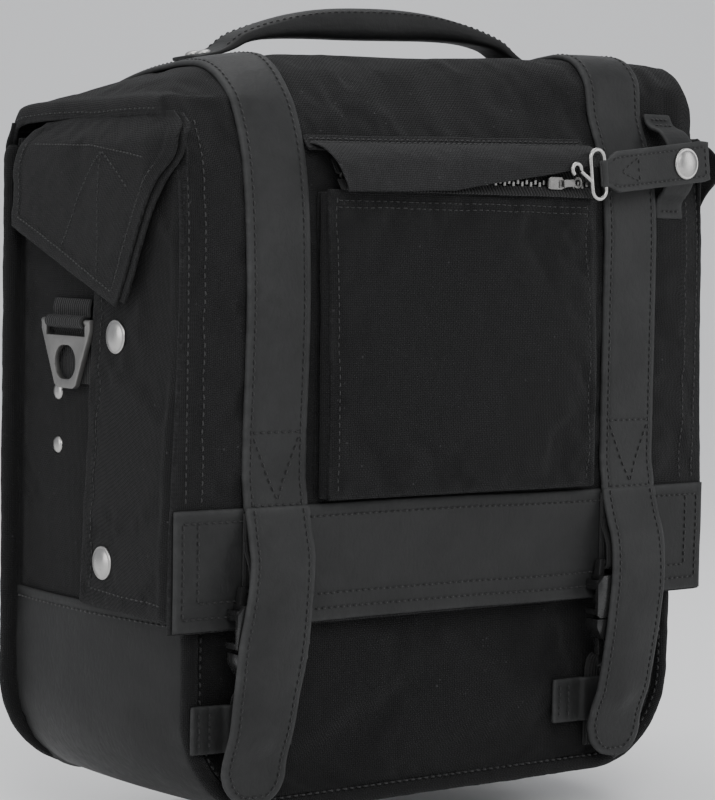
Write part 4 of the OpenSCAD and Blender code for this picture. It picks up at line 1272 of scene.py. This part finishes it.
low_fold = np.stack([fold[:, 1], 161.2 + (90.4 - fold[:, 0]) * 0.5], 1)
strips = [side_gusset(1), side_gusset(-1), sweep_x(low_fold, np.linspace(-87, 87, 60))]
parts = [Sheet(points, (0, -92, 240)).solid("part", 0.9) for points in strips]
finish(join("pocket_gusset", parts), FAB_BODY, "cordura", "flap", "pocket_bellows")

# ------------------------------------------------------------------ storm flap over the zip
# x of nine stations along its top and its free edge
STORM_TOP_X = np.array([-96, -70, -45, -20, 8, 30, 52, 70, 85.0])
STORM_EDGE_X = np.array([-82, -62, -40, -18, 8, 30, 52, 70, 84.0])
ZIP_SLOPE = 0.026                       # rise of the zip area towards the right


def storm(v, k):
    """v runs from the top to the free edge, k through the stations"""
    top, edge = (np.interp(k, np.arange(9), table) for table in (STORM_TOP_X, STORM_EDGE_X))
    x = top + (edge - top) * v
    depth = 21.5 - 13.0 * np.clip((x + 14) / 88, 0, 1)
    a = math.pi / 2 * v
    belly = np.sin(math.pi * np.clip(v, 0, 1))
    y = -81.6 - 19.0 * np.sin(np.maximum(a, 1e-4)) ** 0.72
    z = 340.2 + ZIP_SLOPE * (x + 91) + 1.05 * np.cos(a) - depth * (1 - np.cos(a))
    # soft dents
    y = y + 0.9 * fbm(x / 24, v * 2.2, seed=66) * belly * 1.6
    z = (z + 1.5 * fbm(x / 17, v * 1.6 + 3, seed=67, octaves=2) * np.maximum(belly, 0) ** 0.7
         - 1.0 * v * (1 + 0.6 * noise(x / 26, 0, seed=6)))
    return x, y, z


points = grid(storm, np.linspace(0, 1, 40) ** 1.25, np.linspace(0, 8, 120))
# the free edge is turned under
fold_r = 1.1
hook = [points[-1] + np.array([0, fold_r * (1 - math.cos(a)), -fold_r * math.sin(a)])
        for a in np.radians(np.linspace(25, 180, 8))]
hook.append(hook[-1] + np.array([0, 0.3, 3.0]))
hook.append(hook[-2] + np.array([0, 0.6, 6.0]))
sheet = Sheet(np.concatenate([points, np.array(hook)]), (0, -80, 325))
finish(sheet.solid("storm_flap_cloth", 1.0, wear=1.2), FAB_STORM_LIT, "cordura", "flap", "storm_flap")
sew("storm_flap", [sheet.line([(1.6, 2), (1.6, sheet.width - 2)], n=140)],
    THREAD_GREY_LIT, "cordura", "flap", pitch=3.6, radius=0.36)

# folded seam above the storm flap, its lower edge free
FRONT_UPWARD = PROFILE[np.argmax(PROFILE[:, 1]):][::-1]


def seam_fold(v, x):
    z = 344.6 - 6.4 * v + ZIP_SLOPE * (x + 91)
    y = np.interp(z, FRONT_UPWARD[:, 1], FRONT_UPWARD[:, 0]) - 2.2 - 3.6 * v ** 1.5
    return x, y, z + 0.35 * noise(x / 16, v, seed=4)


sheet = Sheet(grid(seam_fold, np.linspace(0, 1, 12), np.linspace(-97.4, 87.0, 120)),
              (0, -60, 340))
finish(sheet.solid("seam_fold", 1.3, wear=1.2), FAB_LID, "cordura", "flap")
sew("seam_fold", [sheet.line([(a, 2), (a, sheet.width - 2)], n=140) for a in (2.2, 4.6)],
    THREAD_GREY_LIT, "cordura", "flap", pitch=3.6, radius=0.36)

# zip tapes, (y, z) below and above the chain
ZIP_TAPES = (((-95.9, 318.0), (-95.0, 319.3), (-93.6, 321.0), (-92.5, 322.8)),
             ((-91.6, 326.0), (-90.4, 327.4), (-88.4, 330.2), (-86.5, 333.0)))
parts = []
for seed, path in enumerate(ZIP_TAPES, 1):
    points = sweep_x(smooth(path, n=8), np.linspace(-84, 84, 90))
    points[..., 2] += 0.15 * noise(points[..., 0] / 15, 0, seed)
    parts.append(Sheet(points, (0, -60, 300)).solid("part", 0.7))
finish(join("zip_tapes", parts), WEB, "webbing", "flap", "zip_tape")

# ------------------------------------------------------------------ wings
WING_ANGLE = math.radians(1.2)
WING_SNAPS = ((54.9, 242), (64.0, 127))     # (reach back, z)
# (radius, height) of a snap cap
WING_CAP = [(0.0, -0.5), (8.6, -0.5), (8.7, 0.5), (8.45, 1.0), (7.9, 1.25), (7.6, 1.1),
            (7.2, 1.35), (6.2, 2.0), (4.6, 2.6), (2.6, 3.0), (0.8, 3.15), (0.0, 3.15)]


def wing_reach(z):
    """how far back the wing reaches at height z"""
    return np.interp(z, [104, 127, 242, 300, 312, 330, 337], [90, 88, 79, 74, 64, 30, 16])


def wing(sign, side):
    """cloth that runs back from the side of the flap"""
    front_y = -85.5
    body = "wing_" + side[0]
    holder = ("flap", body, (sign * 173, -88.5, 220), (sign * 173, -80, 220))

    def face(z, u):
        x = 173.2 + u * math.sin(WING_ANGLE) + flare(z) * np.clip(1 - u / 84, 0, 1)
        corner = np.clip(1 - u / 4.0, 0, 1)         # rounded corner into the flap
        return (sign * (x - 2.2 * corner ** 2),
                front_y + u * math.cos(WING_ANGLE) - 0.9 * corner, z)

    points = grid(lambda z, t: face(z, t * (wing_reach(z) - 1.2)),
                  np.linspace(337, 104.8, 48), np.linspace(0, 1, 19))
    pin = border_pin(48, 19)
    for u, z in WING_SNAPS:
        back = (points[..., 1] - front_y) / math.cos(WING_ANGLE)
        pin[np.hypot(back - u, points[..., 2] - z) < 12] = 1
    points = cloth(points, pin, grow=0.016, limits=(-1.4, 1.0), seed=91 + sign, bend=1.2,
                   away_from=(0, 0, 220))
    points[..., 0] += (sign * 0.5 * noise(points[..., 2] / 38, points[..., 1] / 60, 31 + sign)
                       * ease(points[..., 1], -75, -20))
    points = refine(points, across=3)
    sheet = Sheet(points, (0, 0, 220))
    along, across, _ = sheet.measure()
    hem = 9.0
    rear = (1 - np.linspace(0, 1, points.shape[1])[None]) * wing_reach(points[..., 2])
    sheet.bump(0.2 * fbm(along / 12, across / 12, seed=18, octaves=2)
               - 0.35 * bell(rear - hem, GROOVE_W) + 0.3 * (rear < hem)
               - 0.35 * bell(sheet.length - along - 8, GROOVE_W))
    finish(sheet.solid("wing_" + side + "_cloth", 2.2, wear=1.5), FAB_FLAP, "cordura", holder,
           "wing_" + side)
    rows = points.shape[0]
    rear_line = [(i / (rows - 1), 1 - hem / wing_reach(points[i, 0, 2]))
                 for i in range(10, rows - 3)]
    low = 1 - 8 / sheet.length
    sew("wing_" + side, [sheet.line(rear_line, n=160, shares=True),
                         sheet.line([(low, 0.05), (low, 0.9)], shares=True)],
        THREAD_GREY_LIT, "cordura", holder, pitch=4.2, radius=0.36)
    out = np.array([sign * math.cos(WING_ANGLE), -math.sin(WING_ANGLE), 0.0])
    caps = [turned("cap", WING_CAP, np.array(face(z, u)) + out * 0.3, out)
            for u, z in WING_SNAPS]
    finish(join("wing_caps_" + side, caps), NICKEL, "nickel", body, "wing_snaps_" + side)


for sign, side in SIDES:
    wing(sign, side)

# ------------------------------------------------------------------ ears
# edges of each layer's outline, (y, z): top and bottom run backwards to forwards,
# back and front run downwards
EAR_LAYERS = (
    ("_outer", 181.6, dict(
        top=[(42, 350.5), (10, 352), (-20, 352.5), (-60, 353.4), (-78, 353)],
        bottom=[(68, 297.5), (32, 284.5), (-6, 270.7), (-41, 258)],
        back=[(42, 350.5), (57, 342.5), (66, 331), (66, 314), (68, 297.5)],
        front=[(-78, 353), (-86.5, 346), (-88.5, 337), (-75, 319), (-41, 258)])),
    ("_inner", 179.0, dict(
        top=[(44, 350), (10, 351.5), (-20, 352), (-60, 352.8), (-81, 352)],
        bottom=[(69, 297), (31, 283.5), (-8, 271.5), (-46.5, 259.5)],
        back=[(44, 350), (58, 341.5), (65.5, 330), (65.5, 314), (69, 297)],
        front=[(-81, 352), (-88.5, 346), (-90.5, 337.5), (-78, 319), (-46.5, 259.5)])))


def ear_layer(sign, layer, face_x, edges):
    """one layer, with the lengths of its rows and columns"""
    rows, cols = 38, 52
    flat = coons(smooth(edges["top"], n=cols), smooth(edges["bottom"], n=cols),
                 smooth(edges["back"], n=rows), smooth(edges["front"], n=rows))
    y, z = flat[..., 0], flat[..., 1]
    # the top tucks under the lid hem, the tip stands off, the front edge rolls
    x = (face_x - 7.0 * ease(z, 336, 354) ** 1.3
         + 0.8 * np.exp(-((y + 40) / 40) ** 2 - ((z - 300) / 40) ** 2)
         + (0.9 if layer else 0.3) * ease(-z, -300, -262)
         - (5.2 if sign < 0 else -2.0) * ease(-y, 66, 91))
    pin = np.zeros((rows, cols))
    pin[:2] = 1
    points = cloth(np.stack([sign * x, y, z], -1), pin, grow=0.004,
                   limits=(-0.5, 0.3) if layer else (-1.2, 1.2), seed=101 + sign + 3 * layer,
                   bend=2.5, away_from=(0, 0, 300))
    points = refine(points)
    sheet = Sheet(points, (0, 0, 300))
    along, across, _ = sheet.measure()
    down, over = np.meshgrid(np.linspace(0, 1, points.shape[0]),
                             np.linspace(0, 1, points.shape[1]), indexing="ij")
    row_len = np.linalg.norm(np.diff(points, axis=1), axis=2).sum(1)[:, None]
    col_len = np.linalg.norm(np.diff(points, axis=0), axis=2).sum(0)[None]
    gap = np.minimum(np.minimum(over, 1 - over) * row_len, (1 - down) * col_len)
    sheet.bump(0.18 * fbm(along / 10, across / 12, seed=8 + layer, octaves=2)
               - 0.3 * bell(gap - 8, GROOVE_W) + 0.35 * (gap < 8))
    return sheet, row_len[:, 0], col_len[0]


def ear(sign, side):
    """two-layer cloth piece that hangs from the side of the lid"""
    holder = ("lid", "ear_" + side[0], (0, 0, 353.5), (0, 0, 341))
    layers = []
    for layer, (suffix, face_x, edges) in enumerate(EAR_LAYERS):
        layers.append(ear_layer(sign, layer, face_x, edges))
        finish(layers[-1][0].solid("ear_" + side + suffix, 1.6, wear=1.3), FAB_EAR, "cordura",
               holder, *(() if layer else ("ear_" + side,)))
    sheet, row_len, col_len = layers[0]
    inset = 6.5

    def share(f):
        return inset / row_len[int(f * (len(row_len) - 1))]

    back = [(f, share(f)) for f in np.linspace(0.30, 1 - inset / col_len[0], 20)]
    front = [(f, 1 - share(f)) for f in np.linspace(0.30, 1 - inset / col_len[-1] * 0.8, 20)]
    # along the edges, then a line under the top and three braces, in shares
    lines = [(back, 60), (front, 60), ([back[-1], front[-1]], 60),
             ([(0.30, 0.10), (0.24, 0.50), (0.27, 0.88)], 80),
             ([(0.27, 0.60), (0.90, 0.47)], 60), ([(0.27, 0.60), (0.92, 0.80)], 60),
             ([(0.27, 0.60), (0.45, 0.86)], 40)]
    sew("ear_" + side, [sheet.line(line, n=n, shares=True) for line, n in lines],
        THREAD_GREY_LIT, "cordura", holder, pitch=3.2, length=2.2, radius=0.33)


for sign, side in SIDES:
    ear(sign, side)

# ------------------------------------------------------------------ webbing and tabs
# (radius, height) of the rivets at the sides
SIDE_RIVET = [(0, -0.3), (4.4, -0.3), (4.5, 0.3), (4.1, 1.0), (3.0, 1.5), (1.4, 1.8), (0, 1.85)]


def web_x(sign, half, n):
    return sign * STRAP_X + WEB_DX + np.linspace(-half, half, n)


def lower_webbing(sign, side):
    path = smooth([(-81.9, 16.2), (-82.2, 30), (-82.2, 50), (-82.6, 60), (-84, 64), (-86, 66.6)],
                  n=30)
    sheet = Sheet(sweep_x(path, web_x(sign, 12.2, 24)), (0, 0, 60))
    finish(sheet.solid("lower_webbing_" + side, 1.5), WEB, "webbing", "bag",
           *once(sign, "lower_webbings"))


def keeper_tab(sign, side):
    """leather across the lower webbing, raised over it"""
    xs = np.linspace(-35.4, 28.4 if sign > 0 else 23.2, 60)
    ys = -83.2 - 1.9 * ease(xs, -18.5, -14.5) * (1 - ease(xs, 17.5, 21.5))
    heights = np.linspace(60.2, 37.8, 20) - (7.0 if sign > 0 else 0.0)
    points = grid(lambda z, k: (sign * STRAP_X + WEB_DX + xs[k],
                                ys[k] + 0.3 * fbm(k / 12, z / 9, seed=6 + sign, octaves=2),
                                z + 0.4 * noise(k / 14, 0, seed=9 + sign)),
                  heights, np.arange(60))
    sheet = Sheet(points, (0, 0, 50))
    gap = sheet.measure()[2]
    width = sheet.width
    sheet.bump(-0.35 * (bell(gap - 3.4, GROOVE_W) + bell(gap - 9.6, GROOVE_W)))
    finish(sheet.solid("keeper_tab_" + side, 2.0, wear=1.5, uv_shift=(120 * sign, 40)),
           LEATHER_BAND, "leather", "bag", *once(sign, "keeper_tabs"))
    lines = [sheet.line([(2.2, b), (sheet.length - 2.2, b)], n=20)
             for b in (3.4, 9.6, width - 3.4, width - 9.6)]
    sew("keeper_" + side, lines, THREAD_DARK, "leather", "bag", pitch=3.4, length=2.5)


def buckle_webbing(name, sign, path, half, middle, turn, thick):
    """webbing looped through a buckle; turn is -1 for a loop open above, 1 for one open below"""
    path = smooth(path, step=0.9)
    sheet = Sheet(sweep_x(path, web_x(sign, half, 22)), middle)
    loop_row = np.argmax(turn * path[:, 1])
    if turn * sheet.normals[loop_row, 12, 2] < 0:
        sheet.turn_over()
    return sheet.solid(name, thick)


def upper_webbing(sign, side):
    y, r = -94.3, 3.9
    path = [(y + r, 156.5), (y + r, 135), (y + r, 124)]
    path += [(y - r * math.cos(t), 119 - r * math.sin(t))
             for t in np.radians(np.linspace(180, 0, 14))]
    path += [(y - r, 124), (y - 3.4, 129), (y - 1.2, 134.5), (y + 1.6, 139.5), (y + 1.9, 142.5)]
    o = buckle_webbing("upper_webbing_" + side, sign, path, half=12.2, middle=(0, y, 119),
                       turn=-1, thick=1.5)
    finish(o, WEB, "webbing", "flap", *once(sign, "upper_webbings"))


def male_webbing(sign, side):
    y, r = -94.1, 3.8
    path = [(y + r, 61.5), (y + r, 66)]
    path += [(y - r * math.cos(t), 70.5 + r * math.sin(t))
             for t in np.radians(np.linspace(180, 0, 14))]
    path += [(y - 3.6, 66.0), (y - 1.0, 62.4), (y + 1.9, 60.8)]
    o = buckle_webbing("male_webbing_" + side, sign, path, half=11.7, middle=(0, y, 70),
                       turn=1, thick=1.4)
    finish(o, WEB, "webbing", "buckle_" + side[0], "male_webbing_" + side)


def ring_webbing(sign, side):
    """patch on the side wall with a loop round the ring, and the rivets below it"""
    loop_x, loop_z, r = 176.5, 248, 3.3
    path = [(173.0, 217), (173.1, 228), (173.2, 238), (174.0, 243.2)]
    path += [(loop_x + r * math.cos(t), loop_z + r * math.sin(t))
             for t in np.radians(np.linspace(-110, 120, 20))]
    path = smooth(path + [(174.5, 255.5), (173.3, 259.6)], step=0.9)
    points = grid(lambda k, y: (sign * path[k, 0], y, path[k, 1]), np.arange(len(path)),
                  np.linspace(-2.4, 34.4, 26))
    sheet = Sheet(points, (sign * 142, 16, 240))
    along, across, _ = sheet.measure()
    sheet.bump(0.15 * np.abs(np.sin(across / 2.1 * math.pi))
               + 0.2 * fbm(along / 9, across / 9, seed=2, octaves=2))
    finish(sheet.solid("ring_webbing_" + side, 1.3), WEB, "webbing", "bag",
           *once(sign, "ring_webbings"))
    rivets = [turned("rivet", SIDE_RIVET, (sign * 171.9, 32.5, z), (sign, 0, 0), 28)
              for z in (211, 183)]
    finish(join("side_rivets_" + side, rivets), NICKEL, "nickel", "bag",
           *once(sign, "side_rivets"))


for sign, side in SIDES:
    for piece in (lower_webbing, keeper_tab, upper_webbing, male_webbing, ring_webbing):
        piece(sign, side)

# ------------------------------------------------------------------ handle
HANDLE_Y, HANDLE_ROWS, HANDLE_SEG = 2.5, 90, 40
HANDLE_RISE, HANDLE_SHIFT = 6.0, 4.0    # the right end lies higher and further out
HANDLE_HOLD = ("lid", "handle", (0, HANDLE_Y, 391.5), (0, HANDLE_Y, 398.5))
# (x, z) of the upper and lower outline, from left to right
HANDLE_TOP = [
    (-117, 386.8), (-108, 388.8), (-100, 391.2), (-94, 394.6), (-88, 399.4), (-76, 405),
    (-58, 411.4), (-38, 416), (-18, 418.4), (0, 419), (18, 418.4), (38, 416), (58, 411.4),
    (76, 405), (88, 399.4), (94, 394.6), (100, 391.2), (108, 388.8), (117, 386.8)]
HANDLE_UNDER = [
    (-116.4, 384.6), (-108, 386.5), (-99, 388.6), (-91, 391.4), (-84, 394.8), (-74, 397.4),
    (-60, 399.2), (-44, 400.4), (-22, 401.2), (0, 401.6), (22, 401.4), (44, 400.8), (60, 399.6),
    (74, 397.6), (84, 395.0), (91, 391.4), (99, 388.6), (108, 386.5), (116.4, 384.6)]
# (radius, height) of the rivets of the handle
HANDLE_RIVET = [(0, -0.4), (3.9, -0.4), (4.0, 0.2), (3.6, 0.8), (2.6, 1.3), (1.2, 1.6), (0, 1.65)]


def handle_outline(points):
    path = smooth(points, n=HANDLE_ROWS)
    path[:, 1] += HANDLE_RISE * ease(path[:, 0], -20, 96)
    path[:, 0] += HANDLE_SHIFT * ease(path[:, 0], 10, 96)
    return path


top, under = handle_outline(HANDLE_TOP), handle_outline(HANDLE_UNDER)
mid = (top + under) / 2
half_thick = np.linalg.norm(top - under, axis=1) / 2
tangent = unit(np.gradient(mid, axis=0))
normal = np.stack([-tangent[:, 1], tangent[:, 0]], 1)
ang = np.linspace(0, 2 * math.pi, HANDLE_SEG, endpoint=False)
cos_a, sin_a = np.cos(ang), np.sin(ang)
rings = []
for i in range(HANDLE_ROWS):
    padded = ease(half_thick[i], 1.6, 6.5)      # 0 flat tab, 1 padded roll
    y = np.sign(cos_a) * np.abs(cos_a) ** (0.30 + 0.35 * padded) * (11.4 - 0.6 * padded)
    rise = np.sign(sin_a) * np.abs(sin_a) ** (0.55 + 0.3 * padded) * half_thick[i]
    # a groove along both sides between the top and the lower layer
    groove = bell(rise / max(half_thick[i], 1) - 0.12, 0.12) * padded
    y = y * (1 - 0.075 * groove)
    # the lower layer is a little narrower
    y = y * (1 - 0.05 * padded * (rise < 0))
    wobble = 0.25 * noise(i / 7.0, ang, seed=3)
    rings.append(np.stack([mid[i, 0] + normal[i, 0] * rise, HANDLE_Y + y + wobble * 0.4,
                           mid[i, 1] + normal[i, 1] * (rise + 0.3 * wobble)], 1))
uv = np.stack([np.tile(ang * 8, HANDLE_ROWS), np.repeat(run(mid), HANDLE_SEG)], 1) + [1500, 0]
worn = np.tile(fade(np.abs(np.abs(sin_a) - 0.25), 1 / 9) * 0.5, HANDLE_ROWS)
o = mesh("handle_leather", np.concatenate(rings), ring_faces(HANDLE_ROWS, HANDLE_SEG), uv, worn)
fix_normals(o)
finish(o, LEATHER_GRIP_SHADED, "leather", HANDLE_HOLD, "handle_grip", "handle_pads")

lines = []
for y in (-6.4, 11.4):
    points, normals = [], []
    for i in range(8, HANDLE_ROWS - 8):
        upper = rings[i][rings[i][:, 2] > mid[i, 1]]
        upper = upper[np.argsort(upper[:, 1])]
        points.append([np.interp(y, upper[:, 1], upper[:, 0]), y,
                       np.interp(y, upper[:, 1], upper[:, 2])])
        normals.append([normal[i, 0], 0, normal[i, 1]])
    lines.append((np.array(points), np.array(normals)))
sew("handle", lines, THREAD_DARK, "leather", HANDLE_HOLD, pitch=4.2, radius=0.36)
rivets = [turned("rivet", HANDLE_RIVET,
                 (end * 108 + HANDLE_SHIFT * (end > 0), y, 388.9 + HANDLE_RISE * (end > 0)),
                 (end * 0.21, 0, 1), 26) for end in (-1, 1) for y in (-3, 8)]
finish(join("handle_rivet_heads", rivets), NICKEL, "nickel", "lid", "handle_rivets")

# ------------------------------------------------------------------ zip lock
# leather loop at the right of the zip, (y, z) from its lower end up
LOOP_PATH = [(-88.4, 308.8), (-88.0, 316), (-93.4, 322), (-97.8, 330), (-98.8, 338),
             (-97.0, 347), (-89.8, 355.6), (-78.2, 361.4), (-76.0, 365.4)]
path = smooth(LOOP_PATH, step=1.2)
xs = np.linspace(-7.6, 10.6, 24)
points = sweep_x(path, 144.6 + xs)
points[..., 1] += 0.3 * fbm(np.arange(len(path))[:, None] / 9, xs[None] / 9, seed=4, octaves=2)
sheet = Sheet(points, (145, -70, 335))
width = sheet.width
sheet.bump(-0.3 * fade(sheet.measure()[2], 0.8))
finish(sheet.solid("lock_loop_leather", 2.0, wear=1.6, uv_shift=(60, 900)), LEATHER_BAND,
       "leather", "flap", "lock_loop")
lines = [sheet.line([(a, 2.6), (a, width - 2.6)], n=20)
         for a in (3, sheet.length - 3, sheet.length - 8)]
sew("lock_loop", lines, THREAD_DARK, "leather", "flap", pitch=3.2, length=2.3)

# The tab is drawn flat about its snap: x along it, y through it, z across it
LOCK_TURN = np.array(Matrix.Rotation(math.radians(1), 3, "Z")
                     @ Matrix.Rotation(math.radians(-7), 3, "Y"))
LOCK_AT = np.array([144, -99.2, 338.0])
WIRE_X = -59.3
# (radius, height) of the lock's snap cap
LOCK_CAP = [(0.0, -0.3), (8.5, -0.3), (8.7, 0.5), (8.45, 1.0), (7.9, 1.25), (7.6, 1.1),
            (7.2, 1.35), (6.2, 2.0), (4.6, 2.5), (2.6, 2.85), (0.8, 3.0), (0.0, 3.0)]


def lock(points):
    return np.asarray(points, float) @ LOCK_TURN.T + LOCK_AT


def tab_half(x):
    return np.interp(x, [-62.3, -58, -50, 14, 18.2], [6.7, 6.8, 10.7, 10.9, 10.2])


def tab_face(x, q):
    z = q * tab_half(x)
    bend = 1 - np.sqrt(np.maximum(0.0, 1 - (np.minimum(x + 56, 0) / 6.3) ** 2))
    return x, -2.9 + 1.15 * bend * 1.2 + 0.25 * fbm(x / 14, z / 9, seed=12, octaves=2), z


tab_x, q = np.linspace(-62.0, 18.2, 70), np.linspace(-1, 1, 30)
face = Sheet(lock(grid(tab_face, tab_x, q)), (144, -60, 338))
along, across, gap = face.measure()
width = face.width
face.bump(-0.35 * bell(gap - 2.8, 0.8) - 0.3 * fade(np.minimum(gap, face.length - along), 0.8))
backing = Sheet(lock(grid(lambda x, q: (x - 0.1, -1.5, q * (tab_half(x) - 0.15)),
                          tab_x[6:], q)), (144, -60, 338))
# loop round the pivot wire
wire_loop = grid(lambda t, z: (WIRE_X + 2.5 * np.cos(t), -1.6 - 2.5 * np.sin(t) * 0.62, z),
                 np.radians(np.linspace(70, 290, 22)), np.linspace(-6.7, 6.7, 24))
wrap = Sheet(lock(wire_loop), lock([WIRE_X, -1.6, 0]))
parts = [layer.solid("part", thick, wear=1.6, uv_shift=(shift, 1200))
         for layer, thick, shift in ((face, 1.25, 80), (backing, 1.2, 130), (wrap, 1.1, 180))]
finish(join("lock_tab_leather", parts), LEATHER, "leather", "lock_tab_body", "lock_tab")
# two sides and the wide end, then a triangle
end = face.length - 3
lines = [([(8, 2.8), (end, 2.8)], 60), ([(8, width - 2.8), (end, width - 2.8)], 60),
         ([(end, 2.8), (end, width - 2.8)], 20), ([(14, width / 2), (27, 4.2)], 30),
         ([(14, width / 2), (27, width - 4.2)], 30), ([(27, 4.2), (27, width - 4.2)], 20)]
sew("lock_tab", [face.line(line, n=n) for line, n in lines], THREAD_DARK, "leather",
    "lock_tab_body", pitch=3.3, length=2.4, radius=0.36)
o = turned("lock_cap", LOCK_CAP, lock([0, -3.0, 0]), LOCK_TURN @ np.array([0, -1.0, 0]))
finish(o, NICKEL, "nickel", "lock_tab_body", "lock_snap")


# ------------------------------------------------------------------ CAD pieces that stay
def smooth_by_angle(degrees):
    """node group: smooth faces, with edges sharper than the angle kept sharp"""
    group = bpy.data.node_groups.new("smooth_by_angle", "GeometryNodeTree")
    for way in ("INPUT", "OUTPUT"):
        group.interface.new_socket("Geometry", in_out=way, socket_type="NodeSocketGeometry")
    start, end = group.nodes.new("NodeGroupInput"), group.nodes.new("NodeGroupOutput")
    faces = group.nodes.new("GeometryNodeSetShadeSmooth")
    edges = group.nodes.new("GeometryNodeSetShadeSmooth")
    edges.domain = "EDGE"
    edges.inputs["Shade Smooth"].default_value = False
    angle = group.nodes.new("GeometryNodeInputMeshEdgeAngle")
    sharp = group.nodes.new("ShaderNodeMath")
    sharp.operation = "GREATER_THAN"
    sharp.inputs[1].default_value = math.radians(degrees)
    for a, b in ((angle.outputs[0], sharp.inputs[0]), (start.outputs[0], faces.inputs[0]),
                 (faces.outputs[0], edges.inputs[0]), (sharp.outputs[0], edges.inputs["Selection"]),
                 (edges.outputs[0], end.inputs[0])):
        group.links.new(a, b)
    return group


SMOOTH = smooth_by_angle(38)


def finish_cad(name, material, bevel, slot):
    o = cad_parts[name]
    o.data.materials.clear()
    o.data.materials.append(material)
    weld = o.modifiers.new("weld", "WELD")
    weld.merge_threshold = 0.000008
    if bevel:
        b = o.modifiers.new("bevel", "BEVEL")
        b.width = bevel * 0.001
        b.segments = 2
        b.limit_method = "ANGLE"
        b.angle_limit = math.radians(32)
        b.use_clamp_overlap = True
        b.harden_normals = False
    o.modifiers.new("shade", "NODES").node_group = SMOOTH


# piece, material, bevel width, slot
CAD_PIECES = (
    ("buckle_females", PLASTIC, 1.0, "plastic"), ("buckle_male_left", PLASTIC, 0.9, "plastic"),
    ("buckle_male_right", PLASTIC, 0.9, "plastic"), ("ring_left", SATIN, 0.5, "nickel"),
    ("ring_right", SATIN, 0.5, "nickel"), ("wire_hook", NICKEL, 0.0, "nickel"),
    ("zip_chain", ZIP_METAL, 0.25, "zip_metal"), ("zip_slider", ZIP_METAL, 0.4, "zip_metal"),
    ("zip_puller", ZIP_METAL, 0.25, "zip_metal"), ("wing_studs", NICKEL, 0.3, "nickel"),
    ("lock_stud", NICKEL, 0.2, "nickel"), ("mount_rail", ALUMINIUM, 0.5, "aluminium"),
    ("rail_screws", NICKEL, 0.0, "nickel"), ("rack_hooks", PLASTIC_HOOKS, 0.5, "plastic"),
    ("latch_left", PLASTIC_HOOKS, 0.4, "plastic"), ("latch_right", PLASTIC_HOOKS, 0.4, "plastic"),
    ("lower_rail", ALUMINIUM, 0.3, "aluminium"), ("lower_hook", PLASTIC_HOOKS, 0.4, "plastic"),
    ("back_stiffener", BOARD, 0.3, "board"), ("base_board", BOARD, 0.3, "board"))
for piece in CAD_PIECES:
    finish_cad(*piece)

# ------------------------------------------------------------------ camera, in metres
YAW, PITCH, ROLL = 0.628275, 0.062558, 0.018093     # radians
CAMERA_AT = (-0.807602, -1.108273, 0.290359)
view = Vector((math.sin(YAW) * math.cos(PITCH), math.cos(YAW) * math.cos(PITCH),
               -math.sin(PITCH)))
level_right = Vector((math.cos(YAW), -math.sin(YAW), 0))
level_up = level_right.cross(view)
right = math.cos(ROLL) * level_right + math.sin(ROLL) * level_up
up = -math.sin(ROLL) * level_right + math.cos(ROLL) * level_up
camera_data = bpy.data.cameras.new("camera")
camera = bpy.data.objects.new("camera", camera_data)
SCENE.collection.objects.link(camera)
camera_data.sensor_width = 36.0
camera_data.lens = 111.712901535
camera_data.clip_start, camera_data.clip_end = 0.05, 60
axes = [(right[k], up[k], -view[k], CAMERA_AT[k]) for k in range(3)]
camera.matrix_world = Matrix(axes + [(0, 0, 0, 1)])
SCENE.camera = camera

# ------------------------------------------------------------------ floor, lights and world
# the floor curves up into a backdrop: (distance along the view, height) in mm
FLOOR = smooth([(-3000, 0), (1200, 0), (1800, 30), (2300, 160), (2700, 450), (2950, 900),
                (3050, 1600), (3100, 4000)], n=60)
ahead = (math.sin(YAW), math.cos(YAW))
verts = [[ahead[0] * far + level_right.x * w, ahead[1] * far + level_right.y * w, z - 0.3]
         for far, z in FLOOR for w in (-4000, 4000)]
faces = [[2 * i, 2 * i + 1, 2 * i + 3, 2 * i + 2] for i in range(len(FLOOR) - 1)]
floor = mesh("studio_floor", verts, faces)


def paper(name):
    s = Shader(name)
    place = s.coords("Object")
    mix = s.node("ShaderNodeMix", data_type="RGBA")
    s.put(s.noise(place, scale=3), mix.inputs[0])
    mix.inputs[6].default_value = (0.90, 0.90, 0.90, 1)
    mix.inputs[7].default_value = (0.93, 0.93, 0.93, 1)
    normal = s.bump(s.noise(place, scale=400), distance=0.0002, strength=0.2)
    return s.finish(mix.outputs[2], 0.9, normal, spec=0.1)


floor.data.materials.append(paper("studio_paper"))

world = bpy.data.worlds.new("studio")
SCENE.world = world
world.use_nodes = True
background = world.node_tree.nodes["Background"]
background.inputs["Color"].default_value = (0.93, 0.95, 1.0, 1)
background.inputs["Strength"].default_value = 0.52


def area(name, at, target, size, watts):
    light = bpy.data.lights.new(name, "AREA")
    light.shape = "RECTANGLE"
    light.size, light.size_y = size
    light.energy = watts
    o = bpy.data.objects.new(name, light)
    SCENE.collection.objects.link(o)
    o.location = at
    o.rotation_mode = "QUATERNION"
    o.rotation_quaternion = (Vector(target) - Vector(at)).to_track_quat("-Z", "Y")


area("key", at=(-0.9, -1.9, 1.5), target=(0, -0.05, 0.2), size=(1.4, 1.4), watts=33)
area("left", at=(-2.0, 0.1, 0.9), target=(-0.1, 0, 0.2), size=(1.2, 1.6), watts=15)
area("right", at=(1.5, -1.4, 0.8), target=(0.05, -0.05, 0.2), size=(1.0, 1.6), watts=12)
area("top", at=(0.1, 0.3, 2.0), target=(0, 0, 0.3), size=(1.4, 1.4), watts=18)
